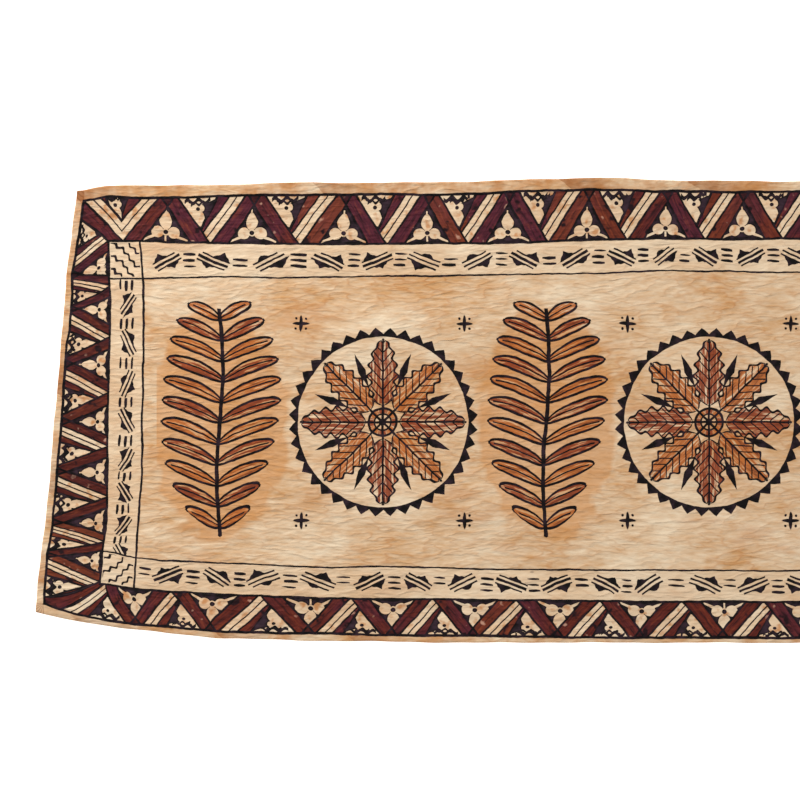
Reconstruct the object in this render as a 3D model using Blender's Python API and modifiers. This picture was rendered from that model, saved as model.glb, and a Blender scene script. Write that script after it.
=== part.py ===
"""A painted tapa bark cloth, laid out flat with its painted side up.

The cloth is one felted sheet of beaten bark. Its four edges are turned under, so the sheet is
twice as thick in a narrow rim. It rests on a flat surface and lifts off it in low cockles, at its
corners and along its edges. The origin is under the middle of the cloth, +X runs along its length
and +Z is up. The sizes below are in millimetres and the model is in metres.
"""

import math
from typing import NamedTuple

import bpy

MM = 0.001

HALF_LENGTH = 874.0
HALF_WIDTH = 302.0
SHEET_THICKNESS = 1.2
HEM_THICKNESS = 2.2
HEM_WIDTH = 13.0
HEM_SLOPE = 9.0
HEM_ROWS = 2
ROWS_ALONG = 60
ROWS_ACROSS = 22
FLAT_BELOW = 0.3
LOWER_EDGE_SHIFT = 900.0
RIGHT_END_SHIFT = 400.0

BARK_COLOUR = (0.62, 0.43, 0.26, 1.0)
BARK_ROUGHNESS = 0.88


class SideEdge(NamedTuple):
    """Where the cloth's two long edges lie, at a distance along the cloth."""

    along: float
    lower: float
    upper: float


class EndEdge(NamedTuple):
    """Where the cloth's two ends lie, at a distance up its width."""

    across: float
    left: float
    right: float


class Wave(NamedTuple):
    """One wave of a torn edge: its height, the distance that turns it by a radian, and its start."""

    height: float
    pace: float
    start: float


class Cockle(NamedTuple):
    """A low swelling of the sheet: its middle, its direction, its half sizes and its height."""

    along: float
    across: float
    degrees: float
    half_length: float
    half_width: float
    height: float


LONG_EDGES = (
    SideEdge(along=-874.0, lower=-262.0, upper=283.0),
    SideEdge(along=-838.0, lower=-271.0, upper=283.6),
    SideEdge(along=-812.0, lower=-275.0, upper=284.8),
    SideEdge(along=-786.0, lower=-279.6, upper=291.0),
    SideEdge(along=-766.0, lower=-282.8, upper=292.6),
    SideEdge(along=-700.0, lower=-289.8, upper=291.8),
    SideEdge(along=-636.0, lower=-295.8, upper=292.6),
    SideEdge(along=-532.0, lower=-299.7, upper=295.4),
    SideEdge(along=-402.0, lower=-301.0, upper=295.8),
    SideEdge(along=-298.0, lower=-302.2, upper=297.2),
    SideEdge(along=-220.0, lower=-302.2, upper=299.8),
    SideEdge(along=-142.0, lower=-302.4, upper=302.0),
    SideEdge(along=-64.0, lower=-302.2, upper=298.8),
    SideEdge(along=88.0, lower=-302.3, upper=297.0),
    SideEdge(along=250.0, lower=-301.4, upper=299.4),
    SideEdge(along=400.0, lower=-302.6, upper=297.0),
    SideEdge(along=560.0, lower=-300.0, upper=298.4),
    SideEdge(along=680.0, lower=-296.4, upper=295.0),
    SideEdge(along=780.0, lower=-290.0, upper=291.0),
    SideEdge(along=850.0, lower=-281.0, upper=286.0),
    SideEdge(along=874.0, lower=-277.0, upper=284.0),
)

END_EDGES = (
    EndEdge(across=-300.0, left=-874.0, right=858.0),
    EndEdge(across=-261.0, left=-872.3, right=862.5),
    EndEdge(across=-219.0, left=-868.4, right=863.5),
    EndEdge(across=-182.0, left=-863.3, right=865.0),
    EndEdge(across=-95.0, left=-855.7, right=867.0),
    EndEdge(across=-16.0, left=-849.7, right=869.5),
    EndEdge(across=70.0, left=-843.5, right=869.5),
    EndEdge(across=148.0, left=-837.2, right=872.5),
    EndEdge(across=183.0, left=-836.0, right=874.0),
    EndEdge(across=231.0, left=-829.0, right=872.5),
    EndEdge(across=288.0, left=-822.0, right=867.5),
    EndEdge(across=300.0, left=-821.0, right=866.0),
)

EDGE_WAVES = (
    Wave(height=0.40, pace=23.0, start=0.0),
    Wave(height=0.24, pace=9.1, start=1.3),
    Wave(height=0.16, pace=51.0, start=0.4),
)

COCKLES = (
    Cockle(along=-872.0, across=-262.0, degrees=35.0, half_length=85.0, half_width=60.0, height=7.0),
    Cockle(along=-825.0, across=290.0, degrees=-40.0, half_length=75.0, half_width=55.0, height=5.5),
    Cockle(along=866.0, across=-285.0, degrees=-38.0, half_length=80.0, half_width=60.0, height=6.0),
    Cockle(along=868.0, across=290.0, degrees=42.0, half_length=85.0, half_width=60.0, height=6.5),
    Cockle(along=-560.0, across=300.0, degrees=2.0, half_length=95.0, half_width=45.0, height=3.6),
    Cockle(along=-142.0, across=306.0, degrees=-2.0, half_length=110.0, half_width=50.0, height=4.4),
    Cockle(along=300.0, across=302.0, degrees=1.0, half_length=90.0, half_width=45.0, height=3.4),
    Cockle(along=640.0, across=298.0, degrees=-3.0, half_length=100.0, half_width=48.0, height=4.0),
    Cockle(along=-655.0, across=-298.0, degrees=-4.0, half_length=95.0, half_width=46.0, height=3.8),
    Cockle(along=-330.0, across=-306.0, degrees=0.0, half_length=80.0, half_width=40.0, height=2.8),
    Cockle(along=130.0, across=-306.0, degrees=0.0, half_length=110.0, half_width=46.0, height=3.6),
    Cockle(along=520.0, across=-302.0, degrees=2.0, half_length=95.0, half_width=44.0, height=4.0),
    Cockle(along=-856.0, across=-30.0, degrees=88.0, half_length=110.0, half_width=40.0, height=3.2),
    Cockle(along=872.0, across=30.0, degrees=91.0, half_length=120.0, half_width=44.0, height=3.6),
    Cockle(along=-470.0, across=95.0, degrees=7.0, half_length=190.0, half_width=38.0, height=2.6),
    Cockle(along=-330.0, across=-120.0, degrees=-6.0, half_length=210.0, half_width=40.0, height=2.4),
    Cockle(along=330.0, across=110.0, degrees=-8.0, half_length=200.0, half_width=40.0, height=2.8),
    Cockle(along=520.0, across=-110.0, degrees=9.0, half_length=180.0, half_width=42.0, height=2.4),
)


def clear_scene() -> None:
    """Removes every object of the scene that the script starts in."""
    for obj in list(bpy.data.objects):
        bpy.data.objects.remove(obj, do_unlink=True)


def between(rows: tuple, column: str, place: float) -> float:
    """The value of a table's column at a place, on a straight line between the rows beside it."""
    if place <= rows[0][0]:
        return getattr(rows[0], column)
    for before, after in zip(rows, rows[1:]):
        if place <= after[0]:
            share = (place - before[0]) / (after[0] - before[0])
            low = getattr(before, column)
            return low + (getattr(after, column) - low) * share
    return getattr(rows[-1], column)


def ripple(distance: float) -> float:
    """The small unevenness of a torn and turned edge, a sum of waves that never line up."""
    return sum(wave.height * math.sin(distance / wave.pace + wave.start) for wave in EDGE_WAVES)


def outline_point(along: float, across: float) -> tuple[float, float]:
    """Moves a point of a straight rectangle to its place on the cloth, whose edges are uneven."""
    left = between(END_EDGES, "left", across) + ripple(across)
    right = between(END_EDGES, "right", across) + ripple(across + RIGHT_END_SHIFT)
    x = left + (right - left) * (along + HALF_LENGTH) / (2 * HALF_LENGTH)
    lower = between(LONG_EDGES, "lower", x) + ripple(x + LOWER_EDGE_SHIFT)
    upper = between(LONG_EDGES, "upper", x) + ripple(x)
    y = lower + (upper - lower) * (across + HALF_WIDTH) / (2 * HALF_WIDTH)
    return x, y


def lift(x: float, y: float) -> float:
    """How far the underside stands off the surface: the sum of the cockles, and zero between them."""
    total = 0.0
    for cockle in COCKLES:
        turn = math.radians(cockle.degrees)
        dx, dy = x - cockle.along, y - cockle.across
        u = (dx * math.cos(turn) + dy * math.sin(turn)) / cockle.half_length
        v = (dy * math.cos(turn) - dx * math.sin(turn)) / cockle.half_width
        total += cockle.height * math.exp(-u * u - v * v)
    return max(0.0, total - FLAT_BELOW)


def stations(half: float, steps: int) -> list[float]:
    """Places from one edge to the other: two rows on each hem, and even rows between the hems."""
    inner = half - HEM_WIDTH - HEM_SLOPE
    middle = [-inner + 2 * inner * k / steps for k in range(steps + 1)]
    return [-half, -half + HEM_WIDTH, *middle, half - HEM_WIDTH, half]


def cloth_underside() -> bpy.types.Object:
    """The underside of the cloth as an open surface, with its thickness kept in a vertex group."""
    columns = stations(HALF_LENGTH, ROWS_ALONG)
    rows = stations(HALF_WIDTH, ROWS_ACROSS)
    bpy.ops.mesh.primitive_grid_add(
        x_subdivisions=len(columns) - 1,
        y_subdivisions=len(rows) - 1,
        size=2.0,
    )
    cloth = bpy.context.object
    cloth.name = "bark_cloth"
    thickness = cloth.vertex_groups.new(name="thickness")
    single_share = SHEET_THICKNESS / HEM_THICKNESS
    last_column = len(columns) - 1
    last_row = len(rows) - 1
    for vertex in cloth.data.vertices:
        column = round((vertex.co.x + 1) / 2 * last_column)
        row = round((vertex.co.y + 1) / 2 * last_row)
        x, y = outline_point(columns[column], rows[row])
        vertex.co = (x * MM, y * MM, lift(x, y) * MM)
        from_edge = min(column, row, last_column - column, last_row - row)
        share = 1.0 if from_edge < HEM_ROWS else single_share
        thickness.add([vertex.index], share, "REPLACE")
    return cloth


def centre_on_origin(cloth: bpy.types.Object) -> None:
    """Moves the mesh so that the middle of its length and width is over the origin."""
    xs = [vertex.co.x for vertex in cloth.data.vertices]
    ys = [vertex.co.y for vertex in cloth.data.vertices]
    middle_x = (min(xs) + max(xs)) / 2
    middle_y = (min(ys) + max(ys)) / 2
    for vertex in cloth.data.vertices:
        vertex.co.x -= middle_x
        vertex.co.y -= middle_y


def thicken(cloth: bpy.types.Object) -> None:
    """Gives the sheet its thickness, upwards from the underside, and twice as much at the hems."""
    solid = cloth.modifiers.new("thickness", "SOLIDIFY")
    solid.thickness = HEM_THICKNESS * MM
    solid.offset = 1.0
    solid.use_rim = True
    solid.vertex_group = "thickness"
    solid.thickness_vertex_group = 0.0


def bark_material() -> bpy.types.Material:
    """Plain undyed bark: a pale, matt tan."""
    material = bpy.data.materials.new("bark")
    material.use_nodes = True
    shader = material.node_tree.nodes["Principled BSDF"]
    shader.inputs["Base Color"].default_value = BARK_COLOUR
    shader.inputs["Roughness"].default_value = BARK_ROUGHNESS
    shader.inputs["Metallic"].default_value = 0.0
    return material


def build() -> None:
    """Builds the cloth in a collection of its own."""
    clear_scene()
    collection = bpy.data.collections.new("tapa_bark_cloth")
    bpy.context.scene.collection.children.link(collection)
    cloth = cloth_underside()
    centre_on_origin(cloth)
    thicken(cloth)
    cloth.data.materials.append(bark_material())
    for owner in list(cloth.users_collection):
        owner.objects.unlink(cloth)
    collection.objects.link(cloth)


build()
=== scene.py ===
"""A painted tapa bark cloth, laid out flat with its painted side up.

The cloth is one felted sheet with turned edges. Its mesh is a grid of places on the straight
sheet that a maker starts from, moved to the uneven outline and the low cockles of the real one.
Every point also keeps how far it lies from the border's ruled lines and how far along each
border run it is, and the finish draws the traditional border bands from those numbers. Sizes in
the tables are in millimetres, and the scene is in metres.
"""

import logging
import math
from dataclasses import dataclass, field
from enum import Enum
from typing import NamedTuple

import bpy
import numpy as np
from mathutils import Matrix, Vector


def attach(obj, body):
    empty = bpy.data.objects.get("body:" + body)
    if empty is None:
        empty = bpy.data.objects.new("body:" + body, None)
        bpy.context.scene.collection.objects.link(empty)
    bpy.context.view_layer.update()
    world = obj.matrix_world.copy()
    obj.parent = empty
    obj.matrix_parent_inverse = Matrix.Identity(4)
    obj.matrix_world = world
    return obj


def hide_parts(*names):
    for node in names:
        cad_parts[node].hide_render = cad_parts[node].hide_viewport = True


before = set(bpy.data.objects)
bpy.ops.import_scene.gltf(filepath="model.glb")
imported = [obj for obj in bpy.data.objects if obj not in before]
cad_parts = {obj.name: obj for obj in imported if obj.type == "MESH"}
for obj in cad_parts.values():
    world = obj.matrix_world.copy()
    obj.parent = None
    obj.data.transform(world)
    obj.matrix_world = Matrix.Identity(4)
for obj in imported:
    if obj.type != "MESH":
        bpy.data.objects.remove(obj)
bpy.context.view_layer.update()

LOG = logging.getLogger("bark_cloth")
MM = 0.001

HALF_LENGTH = 874.0
HALF_WIDTH = 302.0
LOWER_EDGE_SHIFT = 900.0
RIGHT_END_SHIFT = 400.0
FLAT_BELOW = 0.3
CELL = 112.0
LEAF_PITCH = 60.0
AWAY = 40.0

Array = np.ndarray
Slanted = tuple[float, float]


class SideEdge(NamedTuple):
    """Where the cloth's two long edges lie, at a distance along the cloth."""

    along: float
    lower: float
    upper: float


class EndEdge(NamedTuple):
    """Where the cloth's two ends lie, at a distance up its width."""

    across: float
    left: float
    right: float


class Wave(NamedTuple):
    """One wave of a torn edge: its height, the distance that turns it by a radian, and its start."""

    height: float
    pace: float
    start: float


class Cockle(NamedTuple):
    """A low swelling of the sheet: its middle, its direction, its half sizes and its height."""

    along: float
    across: float
    degrees: float
    half_length: float
    half_width: float
    height: float


class Rule(NamedTuple):
    """Where a border's three ruled lines lie, at a place along the side that they follow."""

    place: float
    outer: float
    middle: float
    inner: float


LONG_EDGES = (
    SideEdge(-874.0, -262.0, 283.0),
    SideEdge(-838.0, -271.0, 283.6),
    SideEdge(-812.0, -275.0, 284.8),
    SideEdge(-786.0, -279.6, 291.0),
    SideEdge(-766.0, -282.8, 292.6),
    SideEdge(-700.0, -289.8, 291.8),
    SideEdge(-636.0, -295.8, 292.6),
    SideEdge(-532.0, -299.7, 295.4),
    SideEdge(-402.0, -301.0, 295.8),
    SideEdge(-298.0, -302.2, 297.2),
    SideEdge(-220.0, -302.2, 299.8),
    SideEdge(-142.0, -302.4, 302.0),
    SideEdge(-64.0, -302.2, 298.8),
    SideEdge(88.0, -302.3, 297.0),
    SideEdge(250.0, -301.4, 299.4),
    SideEdge(400.0, -302.6, 297.0),
    SideEdge(560.0, -300.0, 298.4),
    SideEdge(680.0, -296.4, 295.0),
    SideEdge(780.0, -290.0, 291.0),
    SideEdge(850.0, -281.0, 286.0),
    SideEdge(874.0, -277.0, 284.0),
)

END_EDGES = (
    EndEdge(-300.0, -874.0, 858.0),
    EndEdge(-261.0, -872.3, 862.5),
    EndEdge(-219.0, -868.4, 863.5),
    EndEdge(-182.0, -863.3, 865.0),
    EndEdge(-95.0, -855.7, 867.0),
    EndEdge(-16.0, -849.7, 869.5),
    EndEdge(70.0, -843.5, 869.5),
    EndEdge(148.0, -837.2, 872.5),
    EndEdge(183.0, -836.0, 874.0),
    EndEdge(231.0, -829.0, 872.5),
    EndEdge(288.0, -822.0, 867.5),
    EndEdge(300.0, -821.0, 866.0),
)

EDGE_WAVES = (
    Wave(height=0.40, pace=23.0, start=0.0),
    Wave(height=0.24, pace=9.1, start=1.3),
    Wave(height=0.16, pace=51.0, start=0.4),
)

COCKLES = (
    Cockle(-872.0, -262.0, 35.0, 85.0, 60.0, 7.0),
    Cockle(-825.0, 290.0, -40.0, 75.0, 55.0, 5.5),
    Cockle(866.0, -285.0, -38.0, 80.0, 60.0, 6.0),
    Cockle(868.0, 290.0, 42.0, 85.0, 60.0, 6.5),
    Cockle(-560.0, 300.0, 2.0, 95.0, 45.0, 3.6),
    Cockle(-142.0, 306.0, -2.0, 110.0, 50.0, 4.4),
    Cockle(300.0, 302.0, 1.0, 90.0, 45.0, 3.4),
    Cockle(640.0, 298.0, -3.0, 100.0, 48.0, 4.0),
    Cockle(-655.0, -298.0, -4.0, 95.0, 46.0, 3.8),
    Cockle(-330.0, -306.0, 0.0, 80.0, 40.0, 2.8),
    Cockle(130.0, -306.0, 0.0, 110.0, 46.0, 3.6),
    Cockle(520.0, -302.0, 2.0, 95.0, 44.0, 4.0),
    Cockle(-856.0, -30.0, 88.0, 110.0, 40.0, 3.2),
    Cockle(872.0, 30.0, 91.0, 120.0, 44.0, 3.6),
    Cockle(-470.0, 95.0, 7.0, 190.0, 38.0, 2.6),
    Cockle(-330.0, -120.0, -6.0, 210.0, 40.0, 2.4),
    Cockle(330.0, 110.0, -8.0, 200.0, 40.0, 2.8),
    Cockle(520.0, -110.0, 9.0, 180.0, 42.0, 2.4),
)

TOP_RULES = (
    Rule(-811.3, 271.2, 220.4, 171.5),
    Rule(-781.3, 278.3, 220.1, 171.5),
    Rule(-738.4, 276.3, 220.4, 171.5),
    Rule(-694.2, 276.3, 218.4, 172.3),
    Rule(-618.8, 279.0, 217.8, 173.3),
    Rule(-544.7, 279.9, 216.7, 172.9),
    Rule(-436.8, 280.5, 216.6, 174.6),
    Rule(-323.7, 280.8, 217.1, 175.5),
    Rule(-243.1, 284.6, 218.5, 177.2),
    Rule(-141.7, 286.8, 222.2, 178.5),
    Rule(-63.7, 284.6, 223.7, 181.6),
    Rule(15.6, 284.1, 222.7, 181.0),
    Rule(88.4, 284.1, 223.1, 179.3),
    Rule(250.0, 286.0, 223.4, 180.4),
    Rule(400.0, 284.2, 221.6, 178.6),
    Rule(560.0, 285.0, 222.8, 179.8),
    Rule(700.0, 281.6, 220.6, 177.2),
    Rule(860.0, 276.4, 218.4, 175.4),
)

BOTTOM_RULES = (
    Rule(-863.2, -249.6, -224.3, -182.7),
    Rule(-824.7, -263.5, -224.6, -182.8),
    Rule(-784.6, -271.7, -224.9, -182.9),
    Rule(-747.5, -277.4, -231.7, -190.5),
    Rule(-707.2, -280.5, -234.3, -195.3),
    Rule(-647.4, -285.9, -238.2, -197.0),
    Rule(-581.1, -288.9, -240.8, -199.7),
    Rule(-505.7, -289.3, -244.1, -204.4),
    Rule(-413.4, -291.9, -244.8, -202.4),
    Rule(-299.0, -292.2, -246.1, -206.1),
    Rule(-141.7, -295.0, -247.7, -207.4),
    Rule(88.4, -294.8, -248.7, -208.5),
    Rule(300.0, -292.6, -246.2, -205.6),
    Rule(520.0, -291.6, -245.0, -204.8),
    Rule(700.0, -286.4, -240.4, -199.6),
    Rule(860.0, -272.6, -228.8, -188.4),
)

LEFT_RULES = (
    Rule(-249.0, -862.8, -792.4, -748.2),
    Rule(-225.6, -861.3, -791.4, -746.9),
    Rule(-187.9, -859.4, -788.1, -744.4),
    Rule(-155.4, -853.3, -784.2, -742.7),
    Rule(-77.4, -846.7, -781.8, -737.0),
    Rule(-5.9, -840.5, -781.2, -736.6),
    Rule(72.2, -835.3, -779.5, -735.2),
    Rule(143.7, -827.6, -778.1, -734.6),
    Rule(176.2, -828.1, -779.5, -736.1),
    Rule(220.4, -819.9, -779.9, -739.4),
    Rule(272.4, -811.3, -780.1, -739.7),
)

RIGHT_RULES = (
    Rule(-270.0, 848.6, 789.0, 746.4),
    Rule(-188.0, 852.2, 792.2, 749.8),
    Rule(-77.0, 856.4, 795.4, 752.6),
    Rule(-6.0, 858.4, 796.8, 753.8),
    Rule(72.0, 857.6, 796.2, 753.2),
    Rule(144.0, 861.0, 799.0, 756.4),
    Rule(220.0, 861.4, 799.4, 756.8),
    Rule(272.0, 857.4, 797.6, 755.2),
)


class Side(Enum):
    """The cloth's four sides, in the order in which the border runs round it."""

    TOP = 0
    RIGHT = 1
    BOTTOM = 2
    LEFT = 3


@dataclass(frozen=True)
class Run:
    """One side's stretch of the border, drawn from its first corner to its last.

    Attributes:
        side: the side of the cloth that it follows.
        rules: the side's ruled lines.
        flowers: places of the outer band's trefoils.
        leaves: places of the inner band's leaves, the first and last hidden in the corners.
        first_leaf: 0 where the first leaf that shows leans right, 1 where it leans left.
        crossings: how far past the first and the last trefoil their bars meet on the outer line.
    """

    side: Side
    rules: tuple[Rule, ...]
    flowers: tuple[float, ...]
    leaves: tuple[float, ...]
    first_leaf: int
    crossings: tuple[float, float] = (0.0, 0.0)

    @property
    def forward(self) -> float:
        """1 where the run goes towards larger places, and -1 where it goes back."""
        return 1.0 if self.side in (Side.TOP, Side.LEFT) else -1.0

    @property
    def inward(self) -> float:
        """1 where a larger coordinate lies further inside the cloth, and -1 where it doesn't."""
        return 1.0 if self.side in (Side.BOTTOM, Side.LEFT) else -1.0

    @property
    def first_number(self) -> float:
        """The number of the run's first cell, so that no two cells of the cloth share one."""
        return 40.0 * self.side.value


RUNS = {
    Side.TOP: Run(
        side=Side.TOP,
        rules=TOP_RULES,
        flowers=(-706.2, -594.0, -474.6, -366.5, -261.6, -158.9, -56.7, 42.6,
                 146.0, 249.0, 351.0, 453.0, 556.0, 658.0, 760.0),
        leaves=(-766.0, -704.6, -646.1, -572.0, -491.4, -431.6, -371.8, -300.3, -240.5, -174.2,
                -111.8, -58.5, -5.2, 53.3, 114.0, 178.0, 240.0, 299.0, 363.0, 424.0, 487.0,
                548.0, 607.0, 668.0, 718.0, 778.0),
        first_leaf=0,
    ),
    Side.RIGHT: Run(
        side=Side.RIGHT,
        rules=RIGHT_RULES,
        flowers=(192.0, 127.0, 61.0, -6.0, -72.0, -137.0, -197.0),
        leaves=(206.0, 142.0, 96.0, 46.0, -3.0, -52.0, -102.0, -150.0, -220.0),
        first_leaf=1,
    ),
    Side.BOTTOM: Run(
        side=Side.BOTTOM,
        rules=BOTTOM_RULES,
        flowers=(748.0, 644.0, 540.0, 437.0, 332.0, 229.0, 125.0, 20.0,
                 -87.9, -194.2, -304.6, -410.4, -517.7, -645.8, -748.0),
        leaves=(774.0, 722.0, 674.0, 616.0, 553.0, 492.0, 429.0, 368.0, 305.0, 244.0, 181.0,
                120.0, 58.5, -3.1, -80.6, -132.6, -198.9, -256.1, -321.1, -378.3, -439.4,
                -508.3, -581.1, -639.6, -703.3, -764.0),
        first_leaf=1,
        crossings=(0.0, 6.0),
    ),
    Side.LEFT: Run(
        side=Side.LEFT,
        rules=LEFT_RULES,
        flowers=(-194.4, -146.9, -80.0, -15.0, 59.2, 131.3, 185.3),
        leaves=(-224.0, -184.7, -150.8, -105.0, -65.0, -12.4, 34.1, 88.4, 138.5, 188.0),
        first_leaf=0,
        crossings=(6.0, -12.5),
    ),
}


@dataclass(frozen=True)
class Bars:
    """The edges of the outer band's slanted bars, in shares of a cell from its trefoil.

    A Slanted edge starts at its first value on the outer line and moves by its second value on
    the way to the middle line.

    Attributes:
        mitre_overlap: how far the bars reach under a corner's diagonal bar, in millimetres.
        crossed_depth: the depth from which an end's crossings lie above their trefoil again.
    """

    rising_left: Slanted = (-0.067, -0.403)
    rising_right: Slanted = (0.095, -0.365)
    falling_left: Slanted = (-0.045, 0.333)
    falling_right: Slanted = (0.143, 0.362)
    mitre_overlap: float = 1.2
    crossed_depth: float = 0.75


@dataclass(frozen=True)
class Mitre:
    """A corner's diagonal bar, in millimetres at the outer corner and its change to the inner one.

    Attributes:
        shift: how far the bar's middle lies from the corner's diagonal, towards the long side.
        half: half of the bar's width.
    """

    shift: Slanted
    half: Slanted


BARS = Bars()
PLAIN_MITRE = Mitre(shift=(0.0, 0.0), half=(8.4, -5.2))
TILTED_MITRE = Mitre(shift=(-6.8, 14.4), half=(6.8, 0.8))
VEE_BEFORE = -0.06
TURNED_PAST = 126.06


def column(rows: tuple, name: str) -> Array:
    """One named column of a table, as an array."""
    return np.array([getattr(row, name) for row in rows])


def read_off(rows: tuple, name: str, places: Array) -> Array:
    """A table's column at many places, on straight lines between its rows.

    Args:
        rows: the table, whose first column rises.
        name: the column to read.
        places: where to read it.

    Returns:
        The values, held at the table's end values past its ends.
    """
    return np.interp(places, column(rows, rows[0]._fields[0]), column(rows, name))


def lattice_value(ix: Array, iy: Array, seed: int) -> Array:
    """A fixed pseudo-random number from 0 to 1 for each pair of whole numbers."""
    mixed = ix.astype(np.int64) * 374761393 + iy.astype(np.int64) * 668265263 + seed * 974634777
    mixed = (mixed ^ (mixed >> 13)) * 1274126177
    return ((mixed ^ (mixed >> 16)) & 0xFFFF) / 65535.0


def soft_noise(x: Array, y: Array, seed: int) -> Array:
    """Smooth noise from 0 to 1, with one bump to each unit of x and y.

    Random values at whole numbers, blended by 3t^2 - 2t^3 of the part between them.
    """
    ix, iy = np.floor(x), np.floor(y)
    tx, ty = x - ix, y - iy
    tx, ty = tx * tx * (3 - 2 * tx), ty * ty * (3 - 2 * ty)
    low = lattice_value(ix, iy, seed) * (1 - tx) + lattice_value(ix + 1, iy, seed) * tx
    high = lattice_value(ix, iy + 1, seed) * (1 - tx) + lattice_value(ix + 1, iy + 1, seed) * tx
    return low * (1 - ty) + high * ty


@dataclass(frozen=True)
class Corner:
    """A corner of the border: where its outer lines cross, and where its middle lines cross."""

    outer: tuple[float, float]
    inner: tuple[float, float]

    @classmethod
    def between(cls, end: Run, side: Run) -> "Corner":
        """The corner of a short end's lines and a long side's lines.

        Args:
            end: the left or right run.
            side: the top or bottom run.

        Returns:
            The corner, found by reading one line at the other's place until both agree.
        """
        found = []
        for name in ("outer", "middle"):
            y = float(column(side.rules, name).mean())
            for _ in range(8):
                x = float(read_off(end.rules, name, np.array(y)))
                y = float(read_off(side.rules, name, np.array(x)))
            found.append((x, y))
        return cls(outer=found[0], inner=found[1])

    def place(self, depth: Array, axis: int) -> Array:
        """The coordinate of the corner's diagonal at a depth from 0, outside, to 1, inside."""
        return self.outer[axis] + (self.inner[axis] - self.outer[axis]) * depth


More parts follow.
